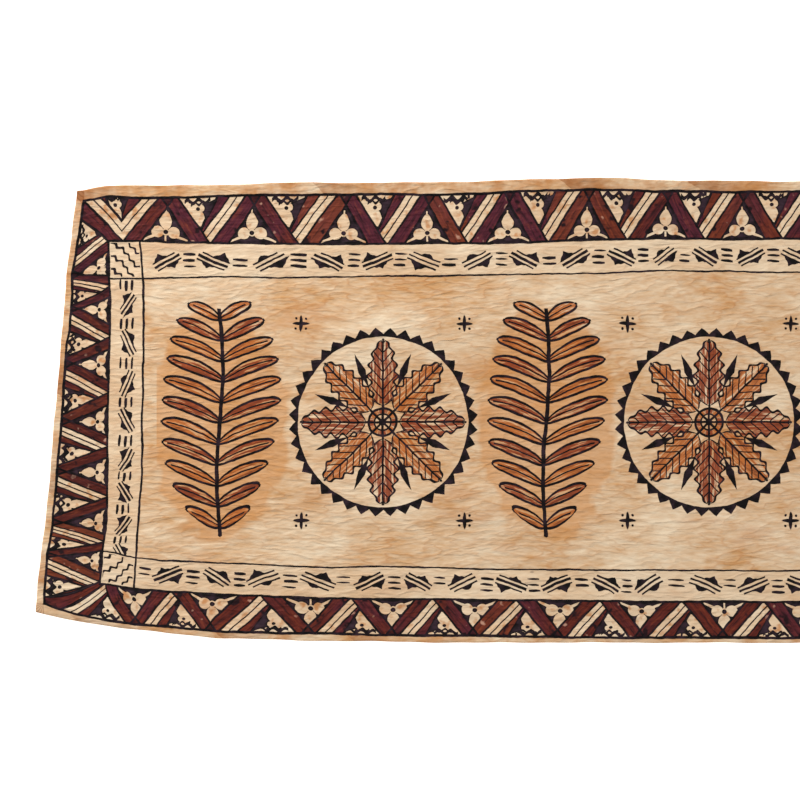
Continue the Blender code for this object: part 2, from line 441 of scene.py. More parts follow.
@dataclass
class BorderPlan:
    """Works out, for points of the cloth, where they lie in the painted border."""

    def corner(self, end: Side, side: Side) -> Corner:
        """The corner where a short end meets a long side."""
        return Corner.between(RUNS[end], RUNS[side])

    def insets(self, run: Run, along: Array, across: Array) -> Array:
        """How far points lie inside a run's three lines.

        Args:
            run: the border run.
            along: the points' coordinate along the side.
            across: the points' other coordinate.

        Returns:
            An array of three columns: from the outer, middle and inner line, in millimetres.
        """
        lines = [read_off(run.rules, name, along) for name in ("outer", "middle", "inner")]
        return np.stack([(across - line) * run.inward for line in lines], axis=-1)

    def flower_phase(self, run: Run, along: Array, depth: Array) -> tuple[Array, Array]:
        """The number of the trefoil at each point, and the local length of a cell.

        Between two trefoils the number grows evenly. Its end knots move with the depth where
        an end's bars meet beside their trefoil. In a corner it grows at the rate that lays the
        last bar's edge along the corner's diagonal bar, at every depth.

        Args:
            run: the border run.
            along: the points' coordinate along the side.
            depth: 0 on the outer line and 1 on the middle line.

        Returns:
            The phase, whole at a trefoil, and the cell length in millimetres.
        """
        axis = 0 if run.side in (Side.TOP, Side.BOTTOM) else 1
        ends = {
            Side.TOP: (self.corner(Side.LEFT, Side.TOP), self.corner(Side.RIGHT, Side.TOP)),
            Side.RIGHT: (self.corner(Side.RIGHT, Side.TOP), self.corner(Side.RIGHT, Side.BOTTOM)),
            Side.BOTTOM: (self.corner(Side.RIGHT, Side.BOTTOM), self.corner(Side.LEFT, Side.BOTTOM)),
            Side.LEFT: (self.corner(Side.LEFT, Side.BOTTOM), self.corner(Side.LEFT, Side.TOP)),
        }[run.side]
        knots = np.array(run.flowers) * run.forward
        place = along * run.forward
        depth = np.clip(depth, 0.0, 1.0)
        outside = 1 - depth / BARS.crossed_depth
        moved = knots.copy()
        moved[[0, -1]] += np.array(run.crossings) * run.forward
        phase = self.between_knots(place, moved) * outside
        phase = phase + self.between_knots(place, knots) * (1 - outside)
        low_knot = knots[0] + (moved[0] - knots[0]) * outside
        high_knot = knots[-1] + (moved[-1] - knots[-1]) * outside
        first = self.mitred(ends[0], run, depth) * run.forward
        last = self.mitred(ends[1], run, depth) * run.forward
        start_share = 1 - BARS.falling_right[0] - BARS.falling_right[1] * depth
        end_share = 1 + BARS.rising_left[0] + BARS.rising_left[1] * depth
        before = -(low_knot - place) / (low_knot - first) * start_share
        after = len(knots) - 1 + (place - high_knot) / (last - high_knot) * end_share
        phase = np.where(place < low_knot, before, phase)
        phase = np.where(place > high_knot, after, phase)
        corners = [corner.outer[axis] * run.forward for corner in ends]
        stops = np.concatenate([corners[:1], knots, corners[1:]])
        gaps = np.diff(stops)
        gaps[0] /= 1 - BARS.falling_right[0]
        gaps[-1] /= 1 + BARS.rising_left[0]
        return phase + run.first_number, np.interp(place, (stops[1:] + stops[:-1]) / 2, gaps)

    def between_knots(self, place: Array, knots: Array) -> Array:
        """The number of the knot at each place, growing on at the same rate past the ends."""
        wider = np.concatenate([[2 * knots[0] - knots[1]], knots, [2 * knots[-1] - knots[-2]]])
        return np.interp(place, wider, np.arange(-1, len(knots) + 1))

    def mitred(self, corner: Corner, run: Run, depth: Array) -> Array:
        """Where a corner's diagonal bar ends on a run's side, as a coordinate along the run.

        Args:
            corner: the corner.
            run: the run that ends there.
            depth: 0 on the outer line and 1 on the middle line.

        Returns:
            The coordinate, a little under the bar.
        """
        on_long_side = run.side in (Side.TOP, Side.BOTTOM)
        axis = 0 if on_long_side else 1
        upper_left = corner.outer[0] < 0 < corner.outer[1]
        mitre = TILTED_MITRE if upper_left else PLAIN_MITRE
        shift = mitre.shift[0] + mitre.shift[1] * depth
        half = mitre.half[0] + mitre.half[1] * depth - BARS.mitre_overlap
        reach = half + shift * (1 if on_long_side else -1)
        deep = abs(corner.inner[1 - axis] - corner.outer[1 - axis])
        inwards = -math.copysign(1.0, corner.outer[axis])
        slant = math.dist(corner.outer, corner.inner) / deep
        return corner.place(depth, axis) + inwards * reach * slant

    def leaf_phase(self, run: Run, along: Array) -> Array:
        """The number of the leaf at each point: even leaves lean right, and odd ones left."""
        knots = np.array(run.leaves) * run.forward
        numbers = np.arange(len(knots)) - 1 + run.first_leaf
        return np.interp(along * run.forward, knots, numbers) + run.first_number

    def of_points(self, x: Array, y: Array) -> dict[str, Array]:
        """Every number that the painting reads, for points of the cloth.

        Args:
            x: the points' places along the cloth, in millimetres.
            y: their places across it.

        Returns:
            Attribute names, each with an array of three columns.
        """
        made = {}
        for name, low, high, along, across in (
            ("side", Side.BOTTOM, Side.TOP, x, y),
            ("end", Side.LEFT, Side.RIGHT, y, x),
        ):
            inset, run_numbers = [], []
            for side in (low, high):
                run = RUNS[side]
                inside = self.insets(run, along, across)
                depth = inside[:, 0] / (inside[:, 0] - inside[:, 1])
                phase, length = self.flower_phase(run, along, depth)
                inset.append(inside)
                run_numbers.append(np.stack([phase, self.leaf_phase(run, along), length], axis=-1))
            nearer = (inset[0][:, :1] < inset[1][:, :1])
            made[f"{name}_inset"] = np.where(nearer, inset[0], inset[1])
            made[f"{name}_run"] = np.where(nearer, run_numbers[0], run_numbers[1])
        return made


@dataclass
class ClothSheet:
    """The cloth's own shape: one closed sheet, with turned edges and crinkled faces."""

    thickness: float = 1.2
    hem_thickness: float = 2.2
    hem_steps: tuple[float, ...] = (0.0, 1.6, 4.4, 8.0, 13.0, 17.5, 22.0)
    columns: int = 190
    rows: int = 204
    rim_steps: int = 4
    raw_edge: float = 33.0
    groove_depth: float = 0.5
    groove_width: float = 2.4

    def stations(self, half: float, steps: int) -> Array:
        """Places from one edge to the other: close together on the hems, then even."""
        fold = self.hem_thickness / 2
        edge = np.array(self.hem_steps)
        inner = np.linspace(-half + edge[-1], half - edge[-1], steps + 1)
        low = -half + fold + edge[:-1] * (edge[-1] - fold) / edge[-1]
        return np.concatenate([low, inner, -low[::-1]])

    def outline(self, along: Array, across: Array) -> tuple[Array, Array]:
        """Moves points of the straight sheet to the cloth's uneven outline.

        A point keeps its share of the way from one end to the other, and then its share of
        the way from the lower edge to the upper one. A sum of three waves roughens the edges.

        Args:
            along: places along the straight sheet.
            across: places across it.

        Returns:
            The points' x and y on the cloth.
        """
        def ripple(distance: Array) -> Array:
            """The small waves of a torn edge, summed."""
            return sum(w.height * np.sin(distance / w.pace + w.start) for w in EDGE_WAVES)

        left = read_off(END_EDGES, "left", across) + ripple(across)
        right = read_off(END_EDGES, "right", across) + ripple(across + RIGHT_END_SHIFT)
        x = left + (right - left) * (along + HALF_LENGTH) / (2 * HALF_LENGTH)
        lower = read_off(LONG_EDGES, "lower", x) + ripple(x + LOWER_EDGE_SHIFT)
        upper = read_off(LONG_EDGES, "upper", x) + ripple(x)
        y = lower + (upper - lower) * (across + HALF_WIDTH) / (2 * HALF_WIDTH)
        return x, y

    def lift(self, x: Array, y: Array) -> Array:
        """How far the underside stands off the floor.

        Each cockle is a bell, exp(-u^2 - v^2), of its own direction and sizes. Their sum, less
        a little, counts where it is above zero.
        """
        total = np.zeros_like(x)
        for cockle in COCKLES:
            turn = math.radians(cockle.degrees)
            dx, dy = x - cockle.along, y - cockle.across
            u = (dx * math.cos(turn) + dy * math.sin(turn)) / cockle.half_length
            v = (dy * math.cos(turn) - dx * math.sin(turn)) / cockle.half_width
            total += cockle.height * np.exp(-u * u - v * v)
        return np.maximum(0.0, total - FLAT_BELOW)

    def crinkle(self, x: Array, y: Array) -> Array:
        """The felted bark's own relief, in millimetres about zero.

        Long narrow ridges along the fibres, bent by a slow noise, on soft broad swellings.
        """
        bend = 16.0 * (soft_noise(x / 90.0, y / 60.0, 5) - 0.5)
        ridges = soft_noise(x / 46.0, (y + bend) / 7.5, 1) - 0.5
        fine = soft_noise(x / 19.0, (y + bend) / 4.2, 2) - 0.5
        broad = soft_noise(x / 150.0, y / 34.0, 3) - 0.5
        beaten = soft_noise(x / 60.0, y / 42.0, 4) - 0.5
        return 0.34 * ridges + 0.2 * fine + 0.5 * broad + 0.4 * beaten

    def edge_distance(self, along: Array, across: Array) -> Array:
        """How far points of the straight sheet lie from its nearest edge."""
        return np.minimum(HALF_LENGTH - np.abs(along), HALF_WIDTH - np.abs(across))

    def faces_of_grid(self, wide: int, high: int) -> Array:
        """The quads of a grid whose points are numbered row by row, facing up."""
        corner = (np.arange(high - 1)[:, None] * wide + np.arange(wide - 1)).ravel()
        return np.stack([corner, corner + 1, corner + wide + 1, corner + wide], axis=-1)

    def rim_loop(self, wide: int, high: int) -> Array:
        """The numbers of a grid's edge points, once round against the clock."""
        bottom = np.arange(wide)
        right = np.arange(1, high) * wide + wide - 1
        top = (high - 1) * wide + np.arange(wide - 2, -1, -1)
        left = np.arange(high - 2, 0, -1) * wide
        return np.concatenate([bottom, right, top, left])

    def heights(self, along: Array, across: Array, x: Array, y: Array) -> tuple[Array, Array]:
        """The sheet's lower and upper face.

        The hem is twice as thick as the rest, and thins to it on a smooth step. On the
        underside a shallow groove follows the turned edge's torn end.

        Returns:
            The z of the underside and of the painted side, in millimetres.
        """
        distance = self.edge_distance(along, across)
        hem, slope_end = self.hem_steps[-3], self.hem_steps[-1]
        share = np.clip((distance - hem) / (slope_end - hem), 0.0, 1.0)
        share = share * share * (3 - 2 * share)
        thick = self.hem_thickness + (self.thickness - self.hem_thickness) * share
        relief = self.crinkle(x, y)
        calm = np.clip(distance / 6.0, 0.35, 1.0)
        lifted = self.lift(x, y)
        torn = self.raw_edge + 5.0 * (soft_noise(x / 21.0, y / 21.0, 8) - 0.5)
        groove = np.exp(-(((distance - torn) / self.groove_width) ** 2)) * self.groove_depth
        under = lifted + groove
        return under, lifted + thick + relief * calm

    def build(self, name: str) -> bpy.types.Object:
        """Makes the closed mesh of both faces and the rounded fold that joins them.

        The fold is a half circle carried round the edge: at each step the edge point moves out
        by the sine of its angle and down by the cosine.

        Args:
            name: the piece's name.

        Returns:
            The cloth, with its painting's numbers as attributes and its faces' UV map.
        """
        columns = self.stations(HALF_LENGTH, self.columns)
        rows = self.stations(HALF_WIDTH, self.rows)
        wide, high = len(columns), len(rows)
        along, across = (part.ravel() for part in np.meshgrid(columns, rows))
        x, y = self.outline(along, across)
        under, upper = self.heights(along, across, x, y)
        loop = self.rim_loop(wide, high)
        edge = np.stack([x[loop], y[loop]], axis=-1)
        tangent = np.roll(edge, -1, axis=0) - np.roll(edge, 1, axis=0)
        outward = np.stack([tangent[:, 1], -tangent[:, 0]], axis=-1)
        outward /= np.linalg.norm(outward, axis=1, keepdims=True)
        middle = (upper[loop] + under[loop]) / 2
        radius = (upper[loop] - under[loop]) / 2
        rings = []
        for step in range(1, self.rim_steps):
            angle = math.pi * step / self.rim_steps
            rim = edge + outward * (self.hem_thickness / 2 * math.sin(angle))
            rings.append(np.column_stack([rim, middle + radius * math.cos(angle)]))
        painted = np.column_stack([x, y, upper])
        bare = np.column_stack([x, y, under])
        points = np.concatenate([painted, bare, *rings])
        points[:, 0] += self.centring(points[:, 0])
        points[:, 1] += self.centring(points[:, 1])
        count = len(painted)
        first_ring = 2 * count + np.arange(self.rim_steps - 1)[:, None] * len(loop)
        levels = [loop, *(first_ring + np.arange(len(loop))), loop + count]
        quads = [self.faces_of_grid(wide, high), self.faces_of_grid(wide, high)[:, ::-1] + count]
        for above, below in zip(levels, levels[1:]):
            quads.append(np.stack([above, below, np.roll(below, -1), np.roll(above, -1)], axis=-1))
        faces = np.concatenate(quads)
        mesh = bpy.data.meshes.new(name)
        mesh.from_pydata((points * MM).tolist(), [], faces.tolist())
        mesh.polygons.foreach_set("use_smooth", np.ones(len(faces), dtype=bool))
        is_back = np.zeros(len(faces), dtype=np.int32)
        grid_faces = (wide - 1) * (high - 1)
        is_back[grid_faces:2 * grid_faces] = 1
        mesh.polygons.foreach_set("material_index", is_back)
        self.add_numbers(mesh, points)
        self.add_uv(mesh, points, faces, is_back)
        mesh.update()
        cloth = bpy.data.objects.new(name, mesh)
        bpy.context.scene.collection.objects.link(cloth)
        return cloth

    def centring(self, values: Array) -> float:
        """How far to move a coordinate so that the cloth's box is centred on the origin."""
        return -(values.min() + values.max()) / 2

    def add_numbers(self, mesh: bpy.types.Mesh, points: Array) -> None:
        """Stores the border numbers of every point as attributes of the mesh."""
        for name, values in BorderPlan().of_points(points[:, 0], points[:, 1]).items():
            stored = mesh.attributes.new(name, "FLOAT_VECTOR", "POINT")
            stored.data.foreach_set("vector", values.astype(np.float32).ravel())

    def add_uv(self, mesh: bpy.types.Mesh, points: Array, faces: Array, is_back: Array) -> None:
        """Lays the painted face over the bare one in the UV square, to one scale."""
        span = 2.1 * HALF_LENGTH
        corners = points[faces.ravel()]
        u = 0.5 + corners[:, 0] / span
        v = 0.25 + corners[:, 1] / span + 0.5 * (1 - np.repeat(is_back, 4))
        layer = mesh.uv_layers.new(name="plan")
        layer.data.foreach_set("uv", np.column_stack([u, v]).astype(np.float32).ravel())


@dataclass(frozen=True, eq=False)
class Wire:
    """A number that changes over the cloth: one shader socket, with arithmetic."""

    board: "Board"
    socket: bpy.types.NodeSocket

    def __add__(self, other: "Number") -> "Wire":
        """The sum."""
        return self.board.maths("ADD", self, other)

    __radd__ = __add__

    def __sub__(self, other: "Number") -> "Wire":
        """The difference."""
        return self.board.maths("SUBTRACT", self, other)

    def __rsub__(self, other: "Number") -> "Wire":
        """The difference from a plain number."""
        return self.board.maths("SUBTRACT", other, self)

    def __mul__(self, other: "Number") -> "Wire":
        """The product."""
        return self.board.maths("MULTIPLY", self, other)

    __rmul__ = __mul__

    def __truediv__(self, other: "Number") -> "Wire":
        """The quotient."""
        return self.board.maths("DIVIDE", self, other)

    def __rtruediv__(self, other: "Number") -> "Wire":
        """The quotient of a plain number by this one."""
        return self.board.maths("DIVIDE", other, self)

    def __pow__(self, other: "Number") -> "Wire":
        """The power."""
        return self.board.maths("POWER", self, other)

    def __neg__(self) -> "Wire":
        """The number with its sign turned."""
        return self.board.maths("MULTIPLY", self, -1.0)

    def __abs__(self) -> "Wire":
        """The number without its sign."""
        return self.board.maths("ABSOLUTE", self)

    def __lt__(self, other: "Number") -> "Wire":
        """1 where this is less, and 0 elsewhere."""
        return self.board.maths("LESS_THAN", self, other)

    def __gt__(self, other: "Number") -> "Wire":
        """1 where this is more, and 0 elsewhere."""
        return self.board.maths("GREATER_THAN", self, other)

    def least(self, other: "Number") -> "Wire":
        """The smaller of two numbers: where these are distances, either shape."""
        return self.board.maths("MINIMUM", self, other)

    def most(self, other: "Number") -> "Wire":
        """The larger of two numbers: where these are distances, what both shapes share."""
        return self.board.maths("MAXIMUM", self, other)

    def whole(self) -> "Wire":
        """The nearest whole number."""
        return self.board.maths("ROUND", self)

    def part(self) -> "Wire":
        """What is over the whole number below."""
        return self.board.maths("FRACT", self)

    def off_whole(self) -> "Wire":
        """How far past the nearest whole number, from -0.5 to 0.5."""
        return self - self.whole()

    def odd(self) -> "Wire":
        """1 for an odd whole number, and 0 for an even one."""
        return (self * 0.5).part() * 2.0

    def lens(self) -> "Wire":
        """A leaf's half width at a share of its length: 0 at both ends, and 1 in the middle."""
        return (self * (1.0 - self) * 4.0).root()

    def sine(self) -> "Wire":
        """The sine of an angle in radians."""
        return self.board.maths("SINE", self)

    def cosine(self) -> "Wire":
        """The cosine of an angle in radians."""
        return self.board.maths("COSINE", self)

    def root(self) -> "Wire":
        """The square root."""
        return self.board.maths("SQRT", self)

    def held(self) -> "Wire":
        """The number kept from 0 to 1."""
        return self.board.maths("MULTIPLY", self, 1.0, clamp=True)


Number = Wire | float
Colour = tuple[float, float, float, float] | bpy.types.NodeSocket


class Board:
    """A material's node tree, and the few ways in which this file adds to it."""

    def __init__(self, name: str) -> None:
        """Starts an empty material.

        Args:
            name: the material's name.
        """
        self.material = bpy.data.materials.new(name)
        self.material.use_nodes = True
        self.tree = self.material.node_tree
        self.tree.nodes.clear()

    def node(self, kind: str, settings: dict | None = None, inputs: dict | None = None) -> bpy.types.Node:
        """Adds one node.

        Args:
            kind: the node's type.
            settings: its own properties, which are set first.
            inputs: socket names or numbers, each with a number, a tuple, a Wire or a socket.

        Returns:
            The node.
        """
        made = self.tree.nodes.new(kind)
        for key, value in (settings or {}).items():
            setattr(made, key, value)
        for key, value in (inputs or {}).items():
            socket = made.inputs[key]
            if isinstance(value, Wire):
                self.tree.links.new(value.socket, socket)
            elif isinstance(value, bpy.types.NodeSocket):
                self.tree.links.new(value, socket)
            else:
                socket.default_value = value
        return made

    def maths(self, operation: str, *values: Number, clamp: bool = False) -> Wire:
        """One Math node on numbers or wires, as a wire."""
        made = self.node(
            "ShaderNodeMath",
            {"operation": operation, "use_clamp": clamp},
            dict(enumerate(values)),
        )
        return Wire(self, made.outputs[0])

    def split(self, vector: bpy.types.NodeSocket) -> tuple[Wire, Wire, Wire]:
        """A vector's three numbers."""
        made = self.node("ShaderNodeSeparateXYZ", None, {0: vector})
        return tuple(Wire(self, output) for output in made.outputs)

    def vector(self, x: Number, y: Number, z: Number = 0.0) -> bpy.types.NodeSocket:
        """A vector of three numbers."""
        return self.node("ShaderNodeCombineXYZ", None, {0: x, 1: y, 2: z}).outputs[0]

    def stored(self, name: str) -> bpy.types.NodeSocket:
        """A vector attribute of the mesh."""
        return self.node("ShaderNodeAttribute", {"attribute_name": name}).outputs["Vector"]

    def either(self, choice: Wire, off: Colour, on: Colour, kind: str = "VECTOR") -> bpy.types.NodeSocket:
        """A mix of two vectors or colours: the first at 0, the second at 1."""
        first, second, output = {"VECTOR": (4, 5, 1), "RGBA": (6, 7, 2)}[kind]
        made = self.node(
            "ShaderNodeMix",
            {"data_type": kind},
            {0: choice, first: off, second: on},
        )
        return made.outputs[output]

    def tint(self, factor: Wire, under: Colour, over: Colour) -> bpy.types.NodeSocket:
        """A colour laid over another, as strongly as the factor says."""
        return self.either(factor, under, over, "RGBA")

    def noise(
        self, place: bpy.types.NodeSocket, scale: float, detail: float = 2.0, rough: float = 0.5
    ) -> bpy.types.Node:
        """A noise texture at a place, with a bump to each 1/scale metres."""
        return self.node(
            "ShaderNodeTexNoise",
            None,
            {"Vector": place, "Scale": scale, "Detail": detail, "Roughness": rough},
        )

    def grain(
        self, place: bpy.types.NodeSocket, scale: float, detail: float = 2.0, rough: float = 0.5
    ) -> Wire:
        """A noise texture's value, from about 0.2 to 0.8."""
        return Wire(self, self.noise(place, scale, detail, rough).outputs["Fac"])

    def stretched(self, place: bpy.types.NodeSocket, by: tuple[float, float, float]) -> bpy.types.NodeSocket:
        """A place with each of its numbers multiplied."""
        made = self.node("ShaderNodeVectorMath", {"operation": "MULTIPLY"}, {0: place, 1: by})
        return made.outputs[0]

    def covered(self, distance: Wire, soft: float = 0.4) -> Wire:
        """1 inside a shape whose distance is below zero, and 0 outside, over a soft edge in mm."""
        return self.maths("MULTIPLY_ADD", distance, -1.0 / soft, 0.5, clamp=True)

    def length(self, x: Wire, y: Wire) -> Wire:
        """The length of a plan vector."""
        return (x * x + y * y).root()

    def oval(self, x: Wire, y: Wire, half_wide: float, half_high: float) -> Wire:
        """About the distance to an oval, below zero inside it."""
        size = min(half_wide, half_high)
        return (self.length(x / half_wide, y / half_high) - 1.0) * size

    def bar(self, across: Wire, along: Wire, half_wide: Number, half_long: Number) -> Wire:
        """The distance to a straight bar, below zero inside it."""
        return (abs(across) - half_wide).most(abs(along) - half_long)

    def random(self, number: Wire, seed: float) -> Wire:
        """A fixed pseudo-random number from 0 to 1 for each whole number."""
        made = self.node("ShaderNodeTexWhiteNoise", {"noise_dimensions": "1D"}, {"W": number + seed})
        return Wire(self, made.outputs["Value"])


def dye(red: float, green: float, blue: float) -> tuple[float, float, float, float]:
    """A colour seen as 0 to 255 on a screen, as the linear values that a shader takes."""
    def linear(level: float) -> float:
        """One screen level as a linear one."""
        share = level / 255.0
        return share / 12.92 if share <= 0.04045 else ((share + 0.055) / 1.055) ** 2.4

    return (linear(red), linear(green), linear(blue), 1.0)


@dataclass(frozen=True)
class BarkFinish:
    """Undyed bark: tan, streaked along its fibres, with washes, patches and small flecks."""

    pale: tuple[float, ...] = dye(233, 210, 179)
    tan: tuple[float, ...] = dye(205, 157, 108)
    wash: tuple[float, ...] = dye(188, 122, 66)
    # Dark brown of the small flecks, also used for the painted shade along the margin's corner pleats and
    # creases.
    fleck_and_fold_shade: tuple[float, ...] = dye(96, 54, 32)
    hem: tuple[float, ...] = dye(190, 130, 78)
    seam: tuple[float, ...] = dye(150, 88, 44)
    roughness: float = 0.88

    def colour(self, board: Board, place: bpy.types.NodeSocket) -> bpy.types.NodeSocket:
        """The bark's colour at a place.

        Args:
            board: the material's nodes.
            place: Object coordinates, in metres.

        Returns:
            A colour socket.
        """
        fibres = self.fibres(board, place)
        slow = board.grain(board.stretched(place, (0.6, 1.0, 1.0)), 10.0, 3.5, 0.62)
        streak = board.grain(fibres, 95.0, 3.0, 0.68)
        thread = board.grain(board.stretched(place, (0.25, 1.0, 1.0)), 340.0, 1.0, 0.6)
        shade = (slow - 0.5) * 2.7 + (streak - 0.5) * 1.35 + (thread - 0.5) * 0.6 + 0.52
        colour = board.tint(shade.held(), self.pale, self.tan)
        stain = board.grain(fibres, 26.0, 3.0, 0.62)
        colour = board.tint(((stain - 0.54) * 5.0).held() * 0.55, colour, self.wash)
        # Browner along the creases where the slow noise is high: partly the bark's own staining, partly
        # painted crease shade.
        folded = ((self.creases(board, fibres) - 0.66) * 3.4).held() * (slow * 2.6 - 0.9).held()
        colour = board.tint(folded * 0.55, colour, self.wash)
        spots = board.node(
            "ShaderNodeTexVoronoi",
            None,
            {"Vector": board.stretched(place, (0.55, 1.0, 1.0)), "Scale": 62.0},
        )
        size = board.split(spots.outputs["Color"])[1]
        near = Wire(board, spots.outputs["Distance"])
        speck = ((size - 0.9) * 1.3 - near) * 14.0
        return board.tint(speck.held() * 0.85, colour, self.fleck_and_fold_shade)

    def fibres(self, board: Board, place: bpy.types.NodeSocket) -> bpy.types.NodeSocket:
        """A place in coordinates that run along the bark's fibres and wander with them."""
        bend = board.noise(board.stretched(place, (0.6, 1.0, 1.0)), 13.0, 1.0, 0.5).outputs["Color"]
        shift = board.stretched(bend, (0.0, 0.024, 0.0))
        bent = board.node("ShaderNodeVectorMath", {"operation": "ADD"}, {0: place, 1: shift})
        return board.stretched(bent.outputs[0], (0.31, 1.0, 1.0))

    def creases(self, board: Board, fibres: bpy.types.NodeSocket) -> Wire:
        """The beaten cloth's creases: about 1 along their crests, and less between."""
        fold = abs(board.grain(fibres, 62.0, 2.0, 0.6) - 0.5)
        return 1.0 - (fold * 9.0).held()

    def relief(self, board: Board, place: bpy.types.NodeSocket) -> bpy.types.NodeSocket:
        """The felt's fine fibres and creases as a bumped normal."""
        fibres = self.fibres(board, place)
        fine = board.grain(board.stretched(fibres, (0.9, 1.0, 1.0)), 210.0, 2.0, 0.65)
        height = fine * 0.5 + self.creases(board, fibres) * 0.42
        height = height + board.grain(fibres, 52.0, 2.0, 0.6) * 1.0
        made = board.node(
            "ShaderNodeBump",
            None,
            {"Strength": 1.0, "Distance": 0.0016, "Height": height},
        )
        return made.outputs["Normal"]


@dataclass(frozen=True)
class InkFinish:
    """The black brush ink: near black in its lines, with a purple cast where it fills a ground."""

    deep: tuple[float, ...] = dye(5, 3, 6)
    worn: tuple[float, ...] = dye(55, 37, 48)

    def colour(self, board: Board, place: bpy.types.NodeSocket, within: Wire) -> bpy.types.NodeSocket:
        """The ink's colour at a place.

        Args:
            board: the material's nodes.
            place: Object coordinates, in metres.
            within: 0 in a line or beside a shape, and 1 in the middle of a filled ground.

        Returns:
            A colour socket.
        """
        wear = board.grain(place, 80.0, 2.0, 0.62)
        return board.tint(((wear - 0.5) * 2.4 + 0.16 + within * 0.5).held(), self.deep, self.worn)


@dataclass(frozen=True)
class MaroonFinish:
    """The brushed bark dye of the bars: purple maroon above, redder below, with dark pools."""

    purple: tuple[float, ...] = dye(86, 34, 46)
    red: tuple[float, ...] = dye(98, 38, 28)
    pool: tuple[float, ...] = dye(34, 16, 20)
    thin: tuple[float, ...] = dye(150, 76, 42)
    bare: tuple[float, ...] = dye(222, 172, 146)

    def colour(
        self,
        board: Board,
        place: bpy.types.NodeSocket,
        band: "OuterBand",
        metres: tuple[Wire, Wire, Wire],
    ) -> bpy.types.NodeSocket:
        """The dye's colour at a place.

        Args:
            board: the material's nodes.
            place: Object coordinates, in metres.
            band: the outer band, whose bars differ and are brushed along their length.
            metres: the place's x, y and z.

        Returns:
            A colour socket.
        """
        cast = board.grain(place, 14.0, 2.0, 0.6)
        own = board.random(band.bar_number, 6.2)
        ends = ((-9.0 - band.mitre) * 0.3).held()
        wave = (metres[0] * 9.0 + 3.6).cosine() * 0.28
        redness = ((cast - 0.5) * 4.0 + own * 1.1 - metres[1] * 1.8 - wave + ends * 0.3).held()
        colour = board.tint(redness, self.purple, self.red)
        brushed = board.grain(band.streak(), 1.0, 3.0, 0.62)
        colour = board.tint(((brushed - 0.48) * 4.5).held() * 0.75, colour, self.pool)
        colour = board.tint(ends * 0.3, colour, self.pool)
        light = ((0.46 - brushed) * 5.0).held() * 0.4 + (own - 0.78).held() * 1.6
        colour = board.tint(light, colour, self.thin)
        blot = board.grain(place, 66.0, 2.0, 0.5)
        seam = (1.0 - abs(band.off_middle) * 0.9).held() * ((brushed - 0.4) * 7.0).held() * 0.7
        colour = board.tint(((blot - 0.6) * 12.0).held().most(seam), colour, self.pool)
        return board.tint(((0.33 - blot) * 14.0).held() * 0.6, colour, self.bare)


@dataclass(frozen=True)
class RustFinish:
    """The thin rust and orange dyes of the field's leaves."""

    rust: tuple[float, ...] = dye(146, 64, 34)
    orange: tuple[float, ...] = dye(186, 104, 48)
    pool: tuple[float, ...] = dye(90, 34, 24)
    wash: tuple[float, ...] = dye(205, 142, 82)

    def colour(self, board: Board, streak: Wire, choice: Wire) -> bpy.types.NodeSocket:
        """The dye's colour: rust at 0 and orange at 1, darker in the brush's streaks."""
        colour = board.tint(choice, self.rust, self.orange)
        return board.tint(((streak - 0.53) * 8.0).held() * 0.8, colour, self.pool)


@dataclass
class Hand:
    """The unsteady hand: the small errors that a brush makes in place and in width.

    Attributes:
        aside: how far a stroke strays along the cloth, in millimetres.
        up: how far it strays across the cloth.
        weight: how much wider it is than it should be.
    """

    board: Board
    place: bpy.types.NodeSocket
    aside: Wire = field(init=False)
    up: Wire = field(init=False)
    weight: Wire = field(init=False)

    def __post_init__(self) -> None:
        """Makes the noises that every stroke shares."""
        slow = self.board.noise(self.place, 26.0, 3.5, 0.66).outputs["Color"]
        shift = self.board.split(slow)
        self.aside = (shift[0] - 0.5) * 5.0
        self.up = (shift[1] - 0.5) * 5.0
        self.weight = (shift[2] - 0.5) * 1.6


